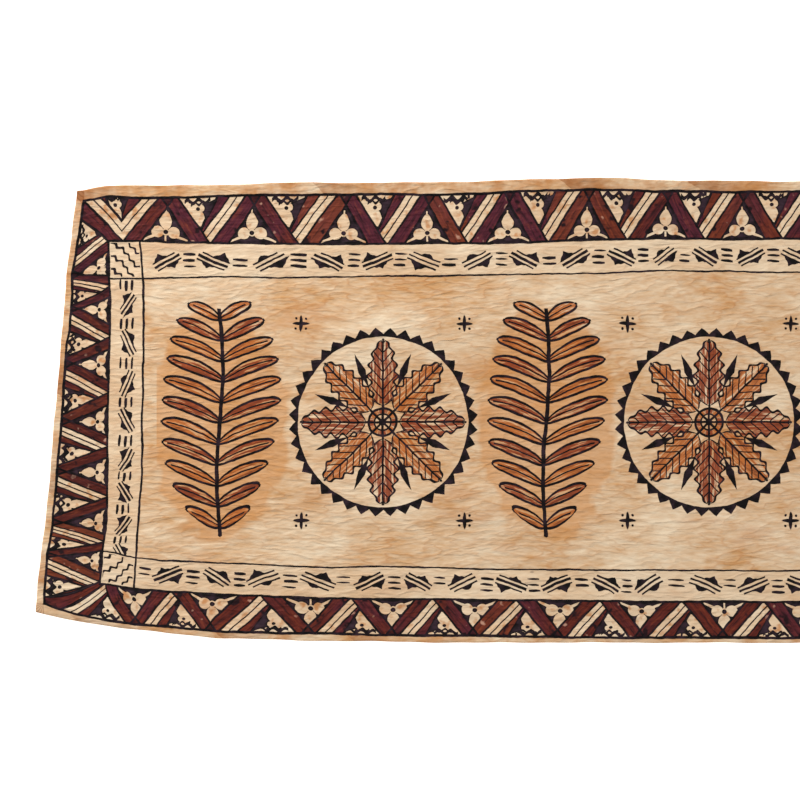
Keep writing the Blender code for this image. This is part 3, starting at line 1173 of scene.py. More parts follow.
@dataclass(frozen=True)
class Trefoil:
    """Three petals about a dotted heart, with a stem above and a ray to each side.

    Its sizes are in millimetres and hold for the longest cells.

    Attributes:
        height: how far the heart's middle lies from the middle line.
        heart: radius of the bare cloth round the heart's dot.
        petal: half width and half length of the upper petal.
        petal_height: how high its middle lies above the heart's.
        lobe_aside: how far aside the middle of a lower petal lies, whose radius is lobe.
        stem: half width, half length and height of the stem, as of the stub below.
    """

    height: float = 13.4
    heart: float = 4.4
    dot: float = 2.9
    petal: tuple[float, float] = (7.9, 11.4)
    petal_height: float = 14.6
    lobe_aside: float = 10.3
    lobe: float = 7.8
    stem: tuple[float, float, float] = (0.9, 3.5, 26.5)
    stub: tuple[float, float, float] = (1.2, 3.4, -8.0)
    ray_start: float = 14.0
    ray_length: float = 15.0
    ray_slope: float = 0.43

    def shape(self, board: Board, x: Wire, up: Wire, scale: Wire, chance: Wire) -> Wire:
        """The distance to the trefoil's bare cloth.

        Args:
            board: the material's nodes.
            x: how far aside of the heart.
            up: how far above it, towards the outer line.
            scale: the trefoil's scale, less than 1 in a short cell, where its lobes lie closer.
            chance: the trefoil's own number from 0 to 1.

        Returns:
            The distance, in the trefoil's own millimetres.
        """
        aside = abs(x)
        drop = (1.0 - scale) * 18.0
        above = up - self.petal_height
        petal = board.oval(x * (above.most(0.0) * 0.05 + 1.0), above, *self.petal)
        lobes = board.length(aside - scale * self.lobe_aside, (up + 0.6 + drop) * 1.06) - self.lobe
        heart = board.length(x * 0.86, up)
        stem = board.bar(x, up - self.stem[2], *self.stem[:2])
        reach = aside - self.ray_start
        ray = abs(up + 5.0 + drop + reach * self.ray_slope) * 0.92 - (1.9 - reach * 0.06)
        ray = ray.most(reach - self.ray_length).most(-3.0 - reach)
        stub = board.bar(x, up - self.stub[2], *self.stub[:2]) + (chance > 0.4) * AWAY
        shape = petal.least(lobes).least(heart - self.heart).least(stem).least(ray).least(stub)
        return shape.most(self.dot - heart)

    def stain(self, board: Board, x: Wire, up: Wire) -> Wire:
        """The brown stains of the petals: above zero in their middles."""
        low = board.length((abs(x) - 9.0) / 6.0, (up + 2.5) / 5.0)
        return 1.0 - board.length(x / 5.0, (up - 10.0) / 9.0).least(low)


@dataclass(frozen=True)
class HalfFlower:
    """Half a flower against a bar, whose leaf points into the V, under a strip of curled vines.

    Its sizes are in millimetres. Heights are counted down from the outer line.

    Attributes:
        depth: how far down the flower's dot lies, and sink, how much higher in the V.
        head: radius of the bare cloth round the dot.
        lobes: how far aside and up each of two petals lies, and its radius.
        leaf: half width and half length of the leaf.
        strip: how far down the strip of vines reaches.
        vine_reach: how far aside the long and the short vine reach.
    """

    depth: float = 16.0
    sink: float = 4.8
    dot: float = 2.5
    head: float = 5.4
    lobes: tuple[tuple[float, float, float], ...] = ((3.4, 1.0, 4.7), (-5.6, 0.6, 5.0))
    leaf_middle: float = 12.5
    leaf: tuple[float, float] = (5.4, 15.0)
    strip: float = 11.5
    vine_reach: tuple[float, float] = (17.0, 9.5)

    def shape(self, band: "OuterBand", x: Wire, from_falling: Wire, from_short: Wire, vee: Wire) -> Wire:
        """The distance to the bare cloth of the flower and of the strip of vines.

        Args:
            band: the outer band.
            x: how far past the flower's dot.
            from_falling: the distance from the bar on the flower's own side.
            from_short: the distance to the short bar on the other side, below zero before it.
            vee: 1 in the corner cell whose flower stands free in the middle.

        Returns:
            The distance, in millimetres.
        """
        board = band.board
        down = band.depth * 60.0 + vee * self.sink
        below = down - self.depth
        narrow = ((0.92 - band.scale) * 8.0).held()
        lean = 0.3 - narrow * 0.26 - vee * 0.12
        long = below * 0.95 + x * lean - self.leaf_middle
        wide = x * 0.95 - below * lean + 1.0 - narrow * 1.4 - vee * 1.0
        half, reach = self.leaf
        leaf = abs(wide) - (1.0 - long * long / (reach * reach)) * half
        head = board.length(x + 0.5, below) - self.head
        strip = (down - self.strip + (x - 2.0).most(0.0) * 0.4).most(from_short)
        filler = wide.most(long - wide * 0.9 - 13.0) + vee * AWAY + narrow * AWAY
        shape = leaf.least(head).least(strip).least(filler)
        for aside, up, radius in self.lobes:
            shape = shape.least(board.length(x - aside, below + up) - radius)
        dot = board.length(x, below) - self.dot
        vines = self.vines(board, x, down, board.random(band.number, 2.1) * 6.0)
        shape = shape.most(-vines).most(-dot)
        return shape.most(band.margin - from_falling).most(from_short)

    def vines(self, board: Board, x: Wire, down: Wire, shift: Wire) -> Wire:
        """The distance to the vines' ink: a long and a short wave, and a knot to each side."""
        curl = abs(down - 5.8 - (x * 0.42 + shift).sine() * 2.6) * 0.75 - 1.95
        small = abs(down - 8.8 - (x * 0.6 + shift * 1.7).sine() * 2.0) * 0.75 - 1.4
        knot = board.length(abs(x + 1.5) - 8.0, (down - 6.5) * 1.3) - 2.8
        long_reach, short_reach = self.vine_reach
        curl = curl.most(abs(x + 1.0) - long_reach)
        return curl.least(small.most(abs(x) - short_reach)).least(knot)


@dataclass
class OuterBand:
    """The outer band: slanted maroon bars, striped strips, and flowers on black grounds.

    Its distances are in millimetres, below zero inside a shape. Its places along a cell are in
    cells, and a Slanted place moves on its way from the outer line to the middle line.

    Attributes:
        phase: the number of the trefoil at each point, whole on a trefoil.
        depth: 0 on the outer line and 1 on the middle line.
        cell: the length of a cell.
        width: the band's width.
        mitre: how far from the corner's diagonal.
        tilted: 1 beside the corner whose diagonal bar is tilted.
        margin: the ink that is left between bare cloth and a bar.
        crossing_line: half the width of the ink line where two bars cross.
        mitre_line: half the width of the one beside a corner's diagonal bar.
        bar_slope: how far a bar moves from line to line.
        flower_axis: how far past its bar the half flower's dot lies.
        short_bar: how far before the next bar the short bar starts, and short_bar_end, ends.
        stripes: the middle and the half width of the pair of bare stripes.
        stripe_line: the middle of the line between them, and its half width in millimetres.
        perpendicular: the length of a cell square to its bars.
        stain: the petals' stains, above zero in their middles.
        bar_number: a whole number for each bar, and off_middle, how far from its middle.
    """

    board: Board
    phase: Wire
    depth: Wire
    cell: Wire
    width: Wire
    mitre: Wire
    tilted: Wire
    margin: float = 1.4
    crossing_line: float = 1.25
    mitre_line: float = 1.3
    bar_slope: float = 0.38
    bar_half: float = 8.2
    flower_axis: Slanted = (0.233, -0.362)
    vee_aside: float = 0.062
    turned_aside: float = 0.045
    short_bar: Slanted = (0.325, -0.13)
    short_bar_end: float = 0.186
    vee_narrower: Slanted = (-0.002, 0.106)
    vee_narrower_left: Slanted = (0.091, 0.034)
    stripes: tuple[float, float] = (0.095, 0.078)
    stripe_line: tuple[float, float] = (0.099, 0.88)
    trefoil: Trefoil = Trefoil()
    half_flower: HalfFlower = HalfFlower()
    number: Wire = field(init=False)
    from_flower: Wire = field(init=False)
    perpendicular: Wire = field(init=False)
    scale: Wire = field(init=False)
    stain: Wire = field(init=False)
    bar_number: Wire = field(init=False)
    off_middle: Wire = field(init=False)

    def __post_init__(self) -> None:
        """Works out what several of the band's shapes share."""
        self.number = self.phase.whole()
        self.from_flower = self.phase - self.number
        slope = self.cell * self.bar_slope / self.width
        self.perpendicular = self.cell / (slope * slope + 1.0).root()
        self.scale = (self.cell / CELL).root()

    def at_depth(self, line: Slanted) -> Wire:
        """A slanted place at this depth."""
        return self.depth * line[1] + line[0]

    def shapes(self) -> tuple[Wire, Wire, Wire]:
        """The band's colours.

        Returns:
            The distances to the bare cloth that shows, to the maroon bars, and to the places
            where two bars cross.
        """
        rising = self.bar(BARS.rising_left, BARS.rising_right)
        falling = self.bar(BARS.falling_left, BARS.falling_right)
        bars = rising.least(falling)
        line = self.crossing_line
        outlines = (line - abs(rising)).most(line - abs(falling))
        bare, short = self.between_bars()
        x = self.from_flower * self.cell / self.scale
        up = ((1.0 - self.depth) * self.width - self.trefoil.height) / self.scale
        chance = self.board.random(self.number, 5.3)
        flower = self.trefoil.shape(self.board, x, up, self.scale, chance) * self.scale
        self.stain = self.trefoil.stain(self.board, x, up)
        off_mitre, beside = self.mitre_bar()
        bare = bare.least(flower.most(self.margin - bars)).most(self.mitre_line - beside)
        maroon = bars.most(outlines).least(short)
        maroon = maroon.most(2 * self.mitre_line - beside).least(beside + self.mitre_line)
        self.number_bars(off_mitre, beside > 0.0)
        return bare, maroon, rising.most(falling)

    def between_bars(self) -> tuple[Wire, Wire]:
        """What lies between a falling bar and the next rising one.

        Places are counted from the falling bar. A turned cell counts them from the rising one,
        and the V from both, so that its two halves mirror each other.

        Returns:
            The distances to the bare cloth and to the short bar.
        """
        start, end = BARS.falling_right, BARS.rising_left
        gap = self.at_depth((1 + end[0] - start[0], end[1] - start[1]))
        turned = self.phase > TURNED_PAST
        vee = self.phase < VEE_BEFORE
        beyond = (self.phase - self.at_depth(start)).part()
        beyond = beyond + (gap - beyond * 2.0) * turned
        middle = gap * 0.5
        off_middle = beyond - middle
        beside_bar = beyond + (abs(off_middle) - off_middle) * vee
        from_falling = beside_bar * self.perpendicular
        from_rising = gap - beside_bar
        axis = self.at_depth(self.flower_axis)
        aside = (middle - self.vee_aside - axis) * vee + turned * self.turned_aside
        flower_x = (beyond - axis - aside) * self.cell
        narrower = self.at_depth(self.vee_narrower_left) * (off_middle < 0.0)
        narrower = narrower + self.at_depth(self.vee_narrower)
        short_start = self.at_depth(self.short_bar) - narrower * vee
        short = (from_rising - short_start).most(self.short_bar_end - from_rising)
        short = (short * self.perpendicular + 1.1).most(self.margin - from_falling)
        middle_line, line_half = self.stripe_line
        stripes = (abs(from_rising - self.stripes[0]) - self.stripes[1]) * self.perpendicular
        stripes = stripes.most(line_half - abs(from_rising - middle_line) * self.perpendicular)
        stripes = stripes.most(self.margin - from_falling)
        from_short = short_start.most(self.short_bar_end) + 0.024 - from_rising
        from_short = from_short * self.perpendicular
        bloom = self.half_flower.shape(self, flower_x, from_falling, from_short, vee)
        return stripes.least(bloom), short

    def mitre_bar(self) -> tuple[Wire, Wire]:
        """How far from the middle of the corner's diagonal bar, and the distance to the bar."""
        plain, tilted = PLAIN_MITRE, TILTED_MITRE
        more = (tilted.half[0] - plain.half[0], tilted.half[1] - plain.half[1])
        half = self.at_depth(plain.half) + self.at_depth(more) * self.tilted
        off_mitre = self.mitre - self.at_depth(tilted.shift) * self.tilted
        return off_mitre, abs(off_mitre) - half

    def number_bars(self, off_mitre: Wire, beyond_mitre: Wire) -> None:
        """Numbers every bar, with 0 for a corner's diagonal one, and finds the bar's middle.

        Args:
            off_mitre: how far from the middle of the corner's diagonal bar.
            beyond_mitre: 1 outside that bar.
        """
        falls = self.from_flower > 0.0
        self.bar_number = (self.number * 2.0 + falls) * beyond_mitre
        left = self.at_depth(BARS.rising_left)
        left = left + (self.at_depth(BARS.falling_left) - left) * falls
        off_bar = (self.from_flower - left) * self.perpendicular - self.bar_half
        self.off_middle = off_mitre + (off_bar - off_mitre) * beyond_mitre

    def bar(self, left: Slanted, right: Slanted) -> Wire:
        """The distance to a slanted bar, between its two edges."""
        from_left = self.from_flower - self.at_depth(left)
        return -from_left.least(self.at_depth(right) - self.from_flower) * self.perpendicular

    def streak(self) -> bpy.types.NodeSocket:
        """A place across and along the bar, for the brush marks that run along it."""
        along = self.depth * self.width * 0.06
        return self.board.vector(self.off_middle * 0.3, along, self.bar_number * 3.7)


@dataclass
class InnerBand:
    """The inner band: slanted winged leaves that lean in turn, with groups of dashes between.

    Attributes:
        phase: the number of the leaf at each point, whole on a leaf.
        inside: how far inside the middle line, in millimetres.
        width: the band's width.
        pitch: the distance between two leaves.
        grow: the leaves' scale.
        wing_edges: how far above and below a leaf's middle its wings start.
        row: the distance between two dashes.
        dash: half of a dash's length.
        dash_reach: how far from the band's middle the dashes lie.
    """

    board: Board
    phase: Wire
    inside: Wire
    width: Wire
    pitch: Wire
    grow: Wire
    wing_edges: tuple[float, float] = (4.8, 5.0)
    row: float = 7.4
    dash: float = 7.8
    dash_reach: float = 11.0

    def ink(self) -> Wire:
        """The distance to the band's black strokes, in millimetres."""
        return self.leaves().least(self.dashes())

    def leaves(self) -> Wire:
        """Three strokes along each leaf, and a wing with a sharp top to each side of them."""
        board = self.board
        number = self.phase.whole()
        lean = 1.0 - number.odd() * 2.0
        chance = board.random(number, 3.7)
        other = board.random(number, 9.2)
        x = (self.phase - number) * self.pitch * lean / self.grow
        y = (self.width * 0.53 - self.inside) / self.grow
        turn = chance * 0.26 + 0.36
        cosine, sine = turn.cosine(), turn.sine()
        p = x * cosine + y * sine
        q = y * cosine - x * sine
        long = 20.5 - chance * 3.5
        upper = board.bar(q - 5.2, p + 1.5, 1.05, long - 2.5)
        middle = board.bar(q + 0.2, p - 0.5, other * 0.8 + 1.1, long)
        lower = board.bar(q + 5.4, p - 1.5, 1.1, long - 0.8)
        wing_up = (1.0 - abs(p + 2.5 + other * 6.0) / 13.5).most(0.0) ** 1.4
        wing_down = (1.0 - abs(p - 3.0 - chance * 4.0) / 16.0).most(0.0) ** 1.4
        nick = (p * 0.9 + other * 9.0).sine() * 0.5
        above, under = self.wing_edges
        wings = (above - q).most(q - 4.3 - nick - wing_up * (6.4 + other * 4.8))
        low_wing = nick - 4.5 - wing_down * (11.0 - other * 4.0) - q
        wings = wings.least((q + under).most(low_wing))
        return middle.least(upper).least(lower).least(wings) * self.grow

    def dashes(self) -> Wire:
        """Two or three dashes with thin ends between each two leaves, each of its own weight."""
        between = (self.phase + 0.5).whole()
        x = (self.phase + 0.5 - between) * self.pitch
        up = self.width * 0.5 - self.inside
        pair = (self.board.random(between, 11.3) < 0.25) * (self.grow > 0.95)
        slant = (up + x * 0.05) / self.row
        row = slant.whole()
        weight = self.board.random(between * 3.0 + row, 6.1)
        rows = abs(slant - row) * self.row + x * x * 0.013 - 1.25 - weight * 0.9
        dashes = rows.most(abs(x + weight * 3.0 - 1.5) - self.grow * self.dash)
        dashes = dashes.most(abs(up) - self.dash_reach)
        dashes = dashes + (abs(between) < 0.5) * AWAY
        return dashes.most(up - self.row / 2 - (1.0 - pair) * AWAY)


class Motif(NamedTuple):
    """A painted motif of the field, with its distances in millimetres.

    Attributes:
        ink: the distance to its black strokes.
        dyed: the distance to its dyed leaves.
        choice: the leaf's dye, 0 for rust and 1 for orange.
        along: how far along the leaf, for its brush marks.
        aside: how far across the leaf.
    """

    ink: Wire
    dyed: Wire
    choice: Wire
    along: Wire
    aside: Wire


@dataclass(frozen=True)
class Rosette:
    """Eight lobed leaves about a ringed eye, with darts between and a ring of teeth.

    Its sizes are in millimetres from its middle.

    Attributes:
        petals: how many leaves, each from start over its length.
        half: half a leaf's width at its foot, and how much less at its tip.
        rib: half width, half length and middle of its rib.
        dart: half width, half length and middle of a dart.
        ring: radius and half width of the ring.
        teeth: the teeth's number for each leaf and where their tips lie.
        eye: radii and half widths of the eye's rings.
    """

    petals: int = 8
    start: float = 22.0
    length: float = 84.0
    half: tuple[float, float] = (20.0, 5.0)
    rib: tuple[float, float, float] = (1.25, 46.0, 62.0)
    vein_gap: float = 12.0
    dart: tuple[float, float, float] = (5.2, 24.0, 72.0)
    ring: tuple[float, float] = (112.0, 1.5)
    teeth: tuple[int, float] = (5, 123.0)
    eye: tuple[tuple[float, float], ...] = ((18.0, 1.6), (0.0, 4.8), (10.5, 1.2))

    def motif(self, board: Board, x: Wire, y: Wire) -> Motif:
        """The rosette about a place.

        Args:
            board: the material's nodes.
            x: how far right of its middle.
            y: how far above it.

        Returns:
            The motif.
        """
        radius = board.length(x, y)
        angle = board.maths("ARCTAN2", y, x) * (self.petals / (2 * math.pi))
        number = angle.whole()
        turn = (angle - number) * (2 * math.pi / self.petals)
        across = radius * turn.sine()
        side = abs(across)
        out = radius * turn.cosine()
        share = ((out - self.start) / self.length).held()
        lobes = (out * 0.42).cosine() * 0.17 + 1.0
        leaf = side - share.lens() * lobes * (self.half[0] - share * self.half[1])
        rib = board.bar(side, out - self.rib[2], *self.rib[:2])
        veins = abs(((out - side * 1.1) / self.vein_gap).part() - 0.5) * 8.6 - 0.85
        veins = veins.most(leaf + 2.0)
        tip = self.start + self.length
        ink = (abs(leaf) - 1.6).most(out - tip - 1.0).least(rib).least(veins)
        ink = ink.least(self.darts(radius, turn)).least(self.toothed_ring(radius, angle))
        for place, half in self.eye:
            ink = ink.least(abs(radius - place) - half)
        dyed = leaf.most(out - tip + 2.0).most(self.start + 2.0 - out)
        dyed = dyed.least(abs(radius - 14.2) - 2.6)
        return Motif(ink.most(radius - self.teeth[1] - 1.0), dyed, number.odd(), out, across)

    def darts(self, radius: Wire, turn: Wire) -> Wire:
        """Pointed darts between the leaves, widest in their middles."""
        half, reach, middle = self.dart
        side = abs(radius * (abs(turn) - math.pi / self.petals).sine())
        return side - (1.0 - abs(radius - middle) / reach) * half

    def toothed_ring(self, radius: Wire, angle: Wire) -> Wire:
        """The ring, and the teeth that stand on it."""
        count, tips = self.teeth
        place, half = self.ring
        teeth = abs((angle * float(count)).part() - 0.5) * 16.0 - (tips - radius) * 0.9
        return teeth.most(place + 1.0 - radius).least(abs(radius - place) - half)


@dataclass(frozen=True)
class Spray:
    """An upright stem with pairs of curved leaflets that shorten to its tip and foot.

    Its sizes are in millimetres from its middle.

    Attributes:
        half_height: how far up the leaflets would shorten to nothing, and clipped, are drawn.
        gap: the distance between two leaflets' feet.
        reach: the longest leaflet's length, and leaf_half, half its width.
        stem: half width, half length and middle of the stem.
    """

    half_height: float = 158.0
    clipped: float = 150.0
    gap: float = 27.0
    reach: float = 76.0
    leaf_half: float = 7.0
    stem: tuple[float, float, float] = (2.6, 152.0, -4.0)

    def motif(self, board: Board, x: Wire, y: Wire) -> Motif:
        """The spray about a place, as a Rosette's motif is."""
        stem_x = x - (y / 46.0).sine() * 4.0
        aside = abs(stem_x)
        base = y - aside * 0.62 + aside * aside * 0.0032
        share_up = base / self.half_height
        reach = (1.0 - share_up * share_up).most(0.0).root() * self.reach + 0.5
        row = base / self.gap
        number = row.whole()
        off = abs(row - number) * 22.5
        leaf = (off - (aside / reach).held().lens() * self.leaf_half).most(aside - reach)
        rib = (off - 0.9).most(aside - reach + 6.0)
        stem = board.bar(stem_x, y - self.stem[2], *self.stem[:2])
        past = abs(base) - self.clipped
        ink = (abs(leaf) - 1.45).least(stem).least(rib).most(past)
        return Motif(ink, leaf.most(past), number.odd(), aside, base)


@dataclass
class FieldDesign:
    """The middle of the cloth: leafy rosettes and upright sprays in turn, with small stars.

    Attributes:
        x: how far along the cloth, in millimetres.
        y: how far across it.
        repeat: the distance between two rosettes.
        middle: where the motifs' middles lie across the cloth.
        wash_size: half width and half height of the thin wash behind a spray.
        star_row: how far from the middle the rows of stars lie.
        star: half length and half width of a star's arms.
    """

    board: Board
    x: Wire
    y: Wire
    repeat: float = 424.0
    middle: float = -15.0
    wash_size: tuple[float, float] = (88.0, 150.0)
    star_row: float = 128.0
    star: tuple[float, float] = (11.0, 2.4)
    rosette: Rosette = Rosette()
    spray: Spray = Spray()

    def shapes(self) -> tuple[Motif, bpy.types.NodeSocket, Wire]:
        """The field's colours.

        Returns:
            What is painted at each place, a place along and across its leaf for the brush marks,
            and the distance to the sprays' thin wash.
        """
        board = self.board
        up = self.y - self.middle
        turn = self.x / self.repeat
        spray_x = (turn + 0.5).off_whole() * self.repeat
        rose = self.rosette.motif(board, turn.off_whole() * self.repeat, up)
        spray = self.spray.motif(board, spray_x, up)
        near_rose = rose.dyed < spray.dyed
        along = spray.along + (rose.along - spray.along) * near_rose
        aside = spray.aside + (rose.aside - spray.aside) * near_rose
        brush = board.vector(along * 0.03, aside * 0.34, self.x * 0.004)
        wash = board.oval(spray_x, up, *self.wash_size)
        ink = rose.ink.least(spray.ink).least(self.stars(turn, up))
        choice = near_rose * rose.choice + (1.0 - near_rose) * spray.choice
        return Motif(ink, rose.dyed.least(spray.dyed), choice, along, aside), brush, wash

    def stars(self, turn: Wire, up: Wire) -> Wire:
        """Small four-pointed stars in two rows, in the gaps between the large motifs."""
        board = self.board
        x = (turn * 2.0 + 0.5).off_whole() * (self.repeat / 2)
        y = abs(up) - self.star_row
        cross = board.oval(x, y, *self.star).least(board.oval(x, y, *self.star[::-1]))
        return cross.least(board.length(abs(x) - 6.6, abs(y) - 6.6) - 1.7)


@dataclass
class Border:
    """The painted border: its ruled lines, its two bands and its corner squares.

    Attributes:
        side: how far inside the nearest long side's outer, middle and inner line.
        end: how far inside the nearest short end's lines.
        outer_line: how far inside the outer line of the whole border, as of its other lines.
        in_outer: 1 in the outer band, in_square in a corner square, and in_inner between them.
        rule_halves: half widths of the outer, middle and inner line.
        end_rule_more: how much more for an end's inner line.
        step_gap: the distance between two stepped lines of a corner square.
        step_margin: how far inside the square they end.
    """

    board: Board
    hand: Hand
    side: tuple[Wire, ...] = field(init=False)
    end: tuple[Wire, ...] = field(init=False)
    outer_line: Wire = field(init=False)
    middle_line: Wire = field(init=False)
    inner_line: Wire = field(init=False)
    in_outer: Wire = field(init=False)
    in_square: Wire = field(init=False)
    in_inner: Wire = field(init=False)
    rule_halves: tuple[float, float, float] = (1.75, 1.55, 1.15)
    end_rule_more: float = 0.35
    step_gap: float = 12.8
    step_margin: float = 2.4

    def __post_init__(self) -> None:
        """Reads the numbers that each point of the cloth keeps, and finds the bands."""
        board, hand = self.board, self.hand
        side, end = board.split(board.stored("side_inset")), board.split(board.stored("end_inset"))
        self.side = tuple(number + hand.up for number in side)
        self.end = tuple(number + hand.aside for number in end)
        self.outer_line = self.side[0].least(self.end[0])
        self.middle_line = self.side[1].least(self.end[1])
        self.inner_line = self.side[2].least(self.end[2])
        inside_middle = self.middle_line > 0.0
        self.in_outer = (self.outer_line > 0.0) * (self.middle_line < 0.0)
        self.in_square = (self.side[2].most(self.end[2]) < 0.0) * inside_middle
        self.in_inner = (self.inner_line < 0.0) * inside_middle * (1.0 - self.in_square)

    def run(self, at_end: Wire) -> tuple[tuple[Wire, ...], Wire]:
        """The numbers of the nearest border run, and the hand's error along it.

        Args:
            at_end: 1 where a short end's run is the one, and 0 where a long side's is.

        Returns:
            The trefoil's number, the leaf's number and the cell's length, and the error.
        """
        board, hand = self.board, self.hand
        nearest = board.either(at_end, board.stored("side_run"), board.stored("end_run"))
        return board.split(nearest), hand.aside + (hand.up - hand.aside) * at_end

    def outer_band(self, tilted: Wire) -> OuterBand:
        """The outer band, whose corners are cut along their diagonals."""
        side_width, end_width = self.side[0] - self.side[1], self.end[0] - self.end[1]
        side_depth, end_depth = self.side[0] / side_width, self.end[0] / end_width
        at_end = end_depth < side_depth
        run, stray = self.run(at_end)
        diagonal = side_width * end_width / self.board.length(side_width, end_width)
        return OuterBand(
            board=self.board,
            phase=run[0] + stray / run[2],
            depth=end_depth.least(side_depth),
            cell=run[2],
            width=side_width + (end_width - side_width) * at_end,
            mitre=(end_depth - side_depth) * diagonal,
            tilted=tilted,
        )

    def inner_band(self) -> InnerBand:
        """The inner band, whose leaves are smaller and closer at the short ends."""
        at_end = self.end[2] < self.side[2]
        run, stray = self.run(at_end)
        side_width, end_width = self.side[1] - self.side[2], self.end[1] - self.end[2]
        return InnerBand(
            board=self.board,
            phase=run[1] + stray / LEAF_PITCH,
            inside=self.middle_line,
            width=side_width + (end_width - side_width) * at_end,
            pitch=LEAF_PITCH - at_end * 11.0,
            grow=1.0 - at_end * 0.13,
        )

    def ruled_lines(self) -> Wire:
        """The distance to the ruled lines, which are wider where the hand presses."""
        outer, middle, inner = self.rule_halves
        inner_lines = abs(self.side[2]).least(abs(self.end[2]) - self.end_rule_more) - inner
        lines = (abs(self.outer_line) - outer).least(abs(self.middle_line) - middle)
        return lines.least(inner_lines.most(-self.middle_line)) - self.hand.weight * 0.9

    def steps(self, upper: Wire) -> Wire:
        """The stepped lines of a corner square, drawn from the border's corner inwards.

        Args:
            upper: 1 in the upper corners and 0 in the lower ones.

        Returns:
            The distance to the lines, in millimetres.
        """
        across_end, across_side = self.end[1], self.side[1]
        along = (across_end + across_side) * 0.707
        across = (across_end - across_side) * 0.707 + upper * 3.0
        zigzag = (along * 0.57).sine() * 1.6 + (along * 0.17 + across * 0.13).sine() * 1.5
        share = ((across + zigzag) / self.step_gap).part()
        line = abs(share - 0.5) * self.step_gap * 0.8 - 1.3
        margin = self.step_margin
        inside = (margin - across_end).most(margin - across_side)
        return line.most(inside.most(self.end[2] + margin).most(self.side[2] + margin))


class Pattern(Enum):
    """Which face of the cloth a finish is for."""

    PAINTED = "painted_bark"
    BARE = "bare_bark"


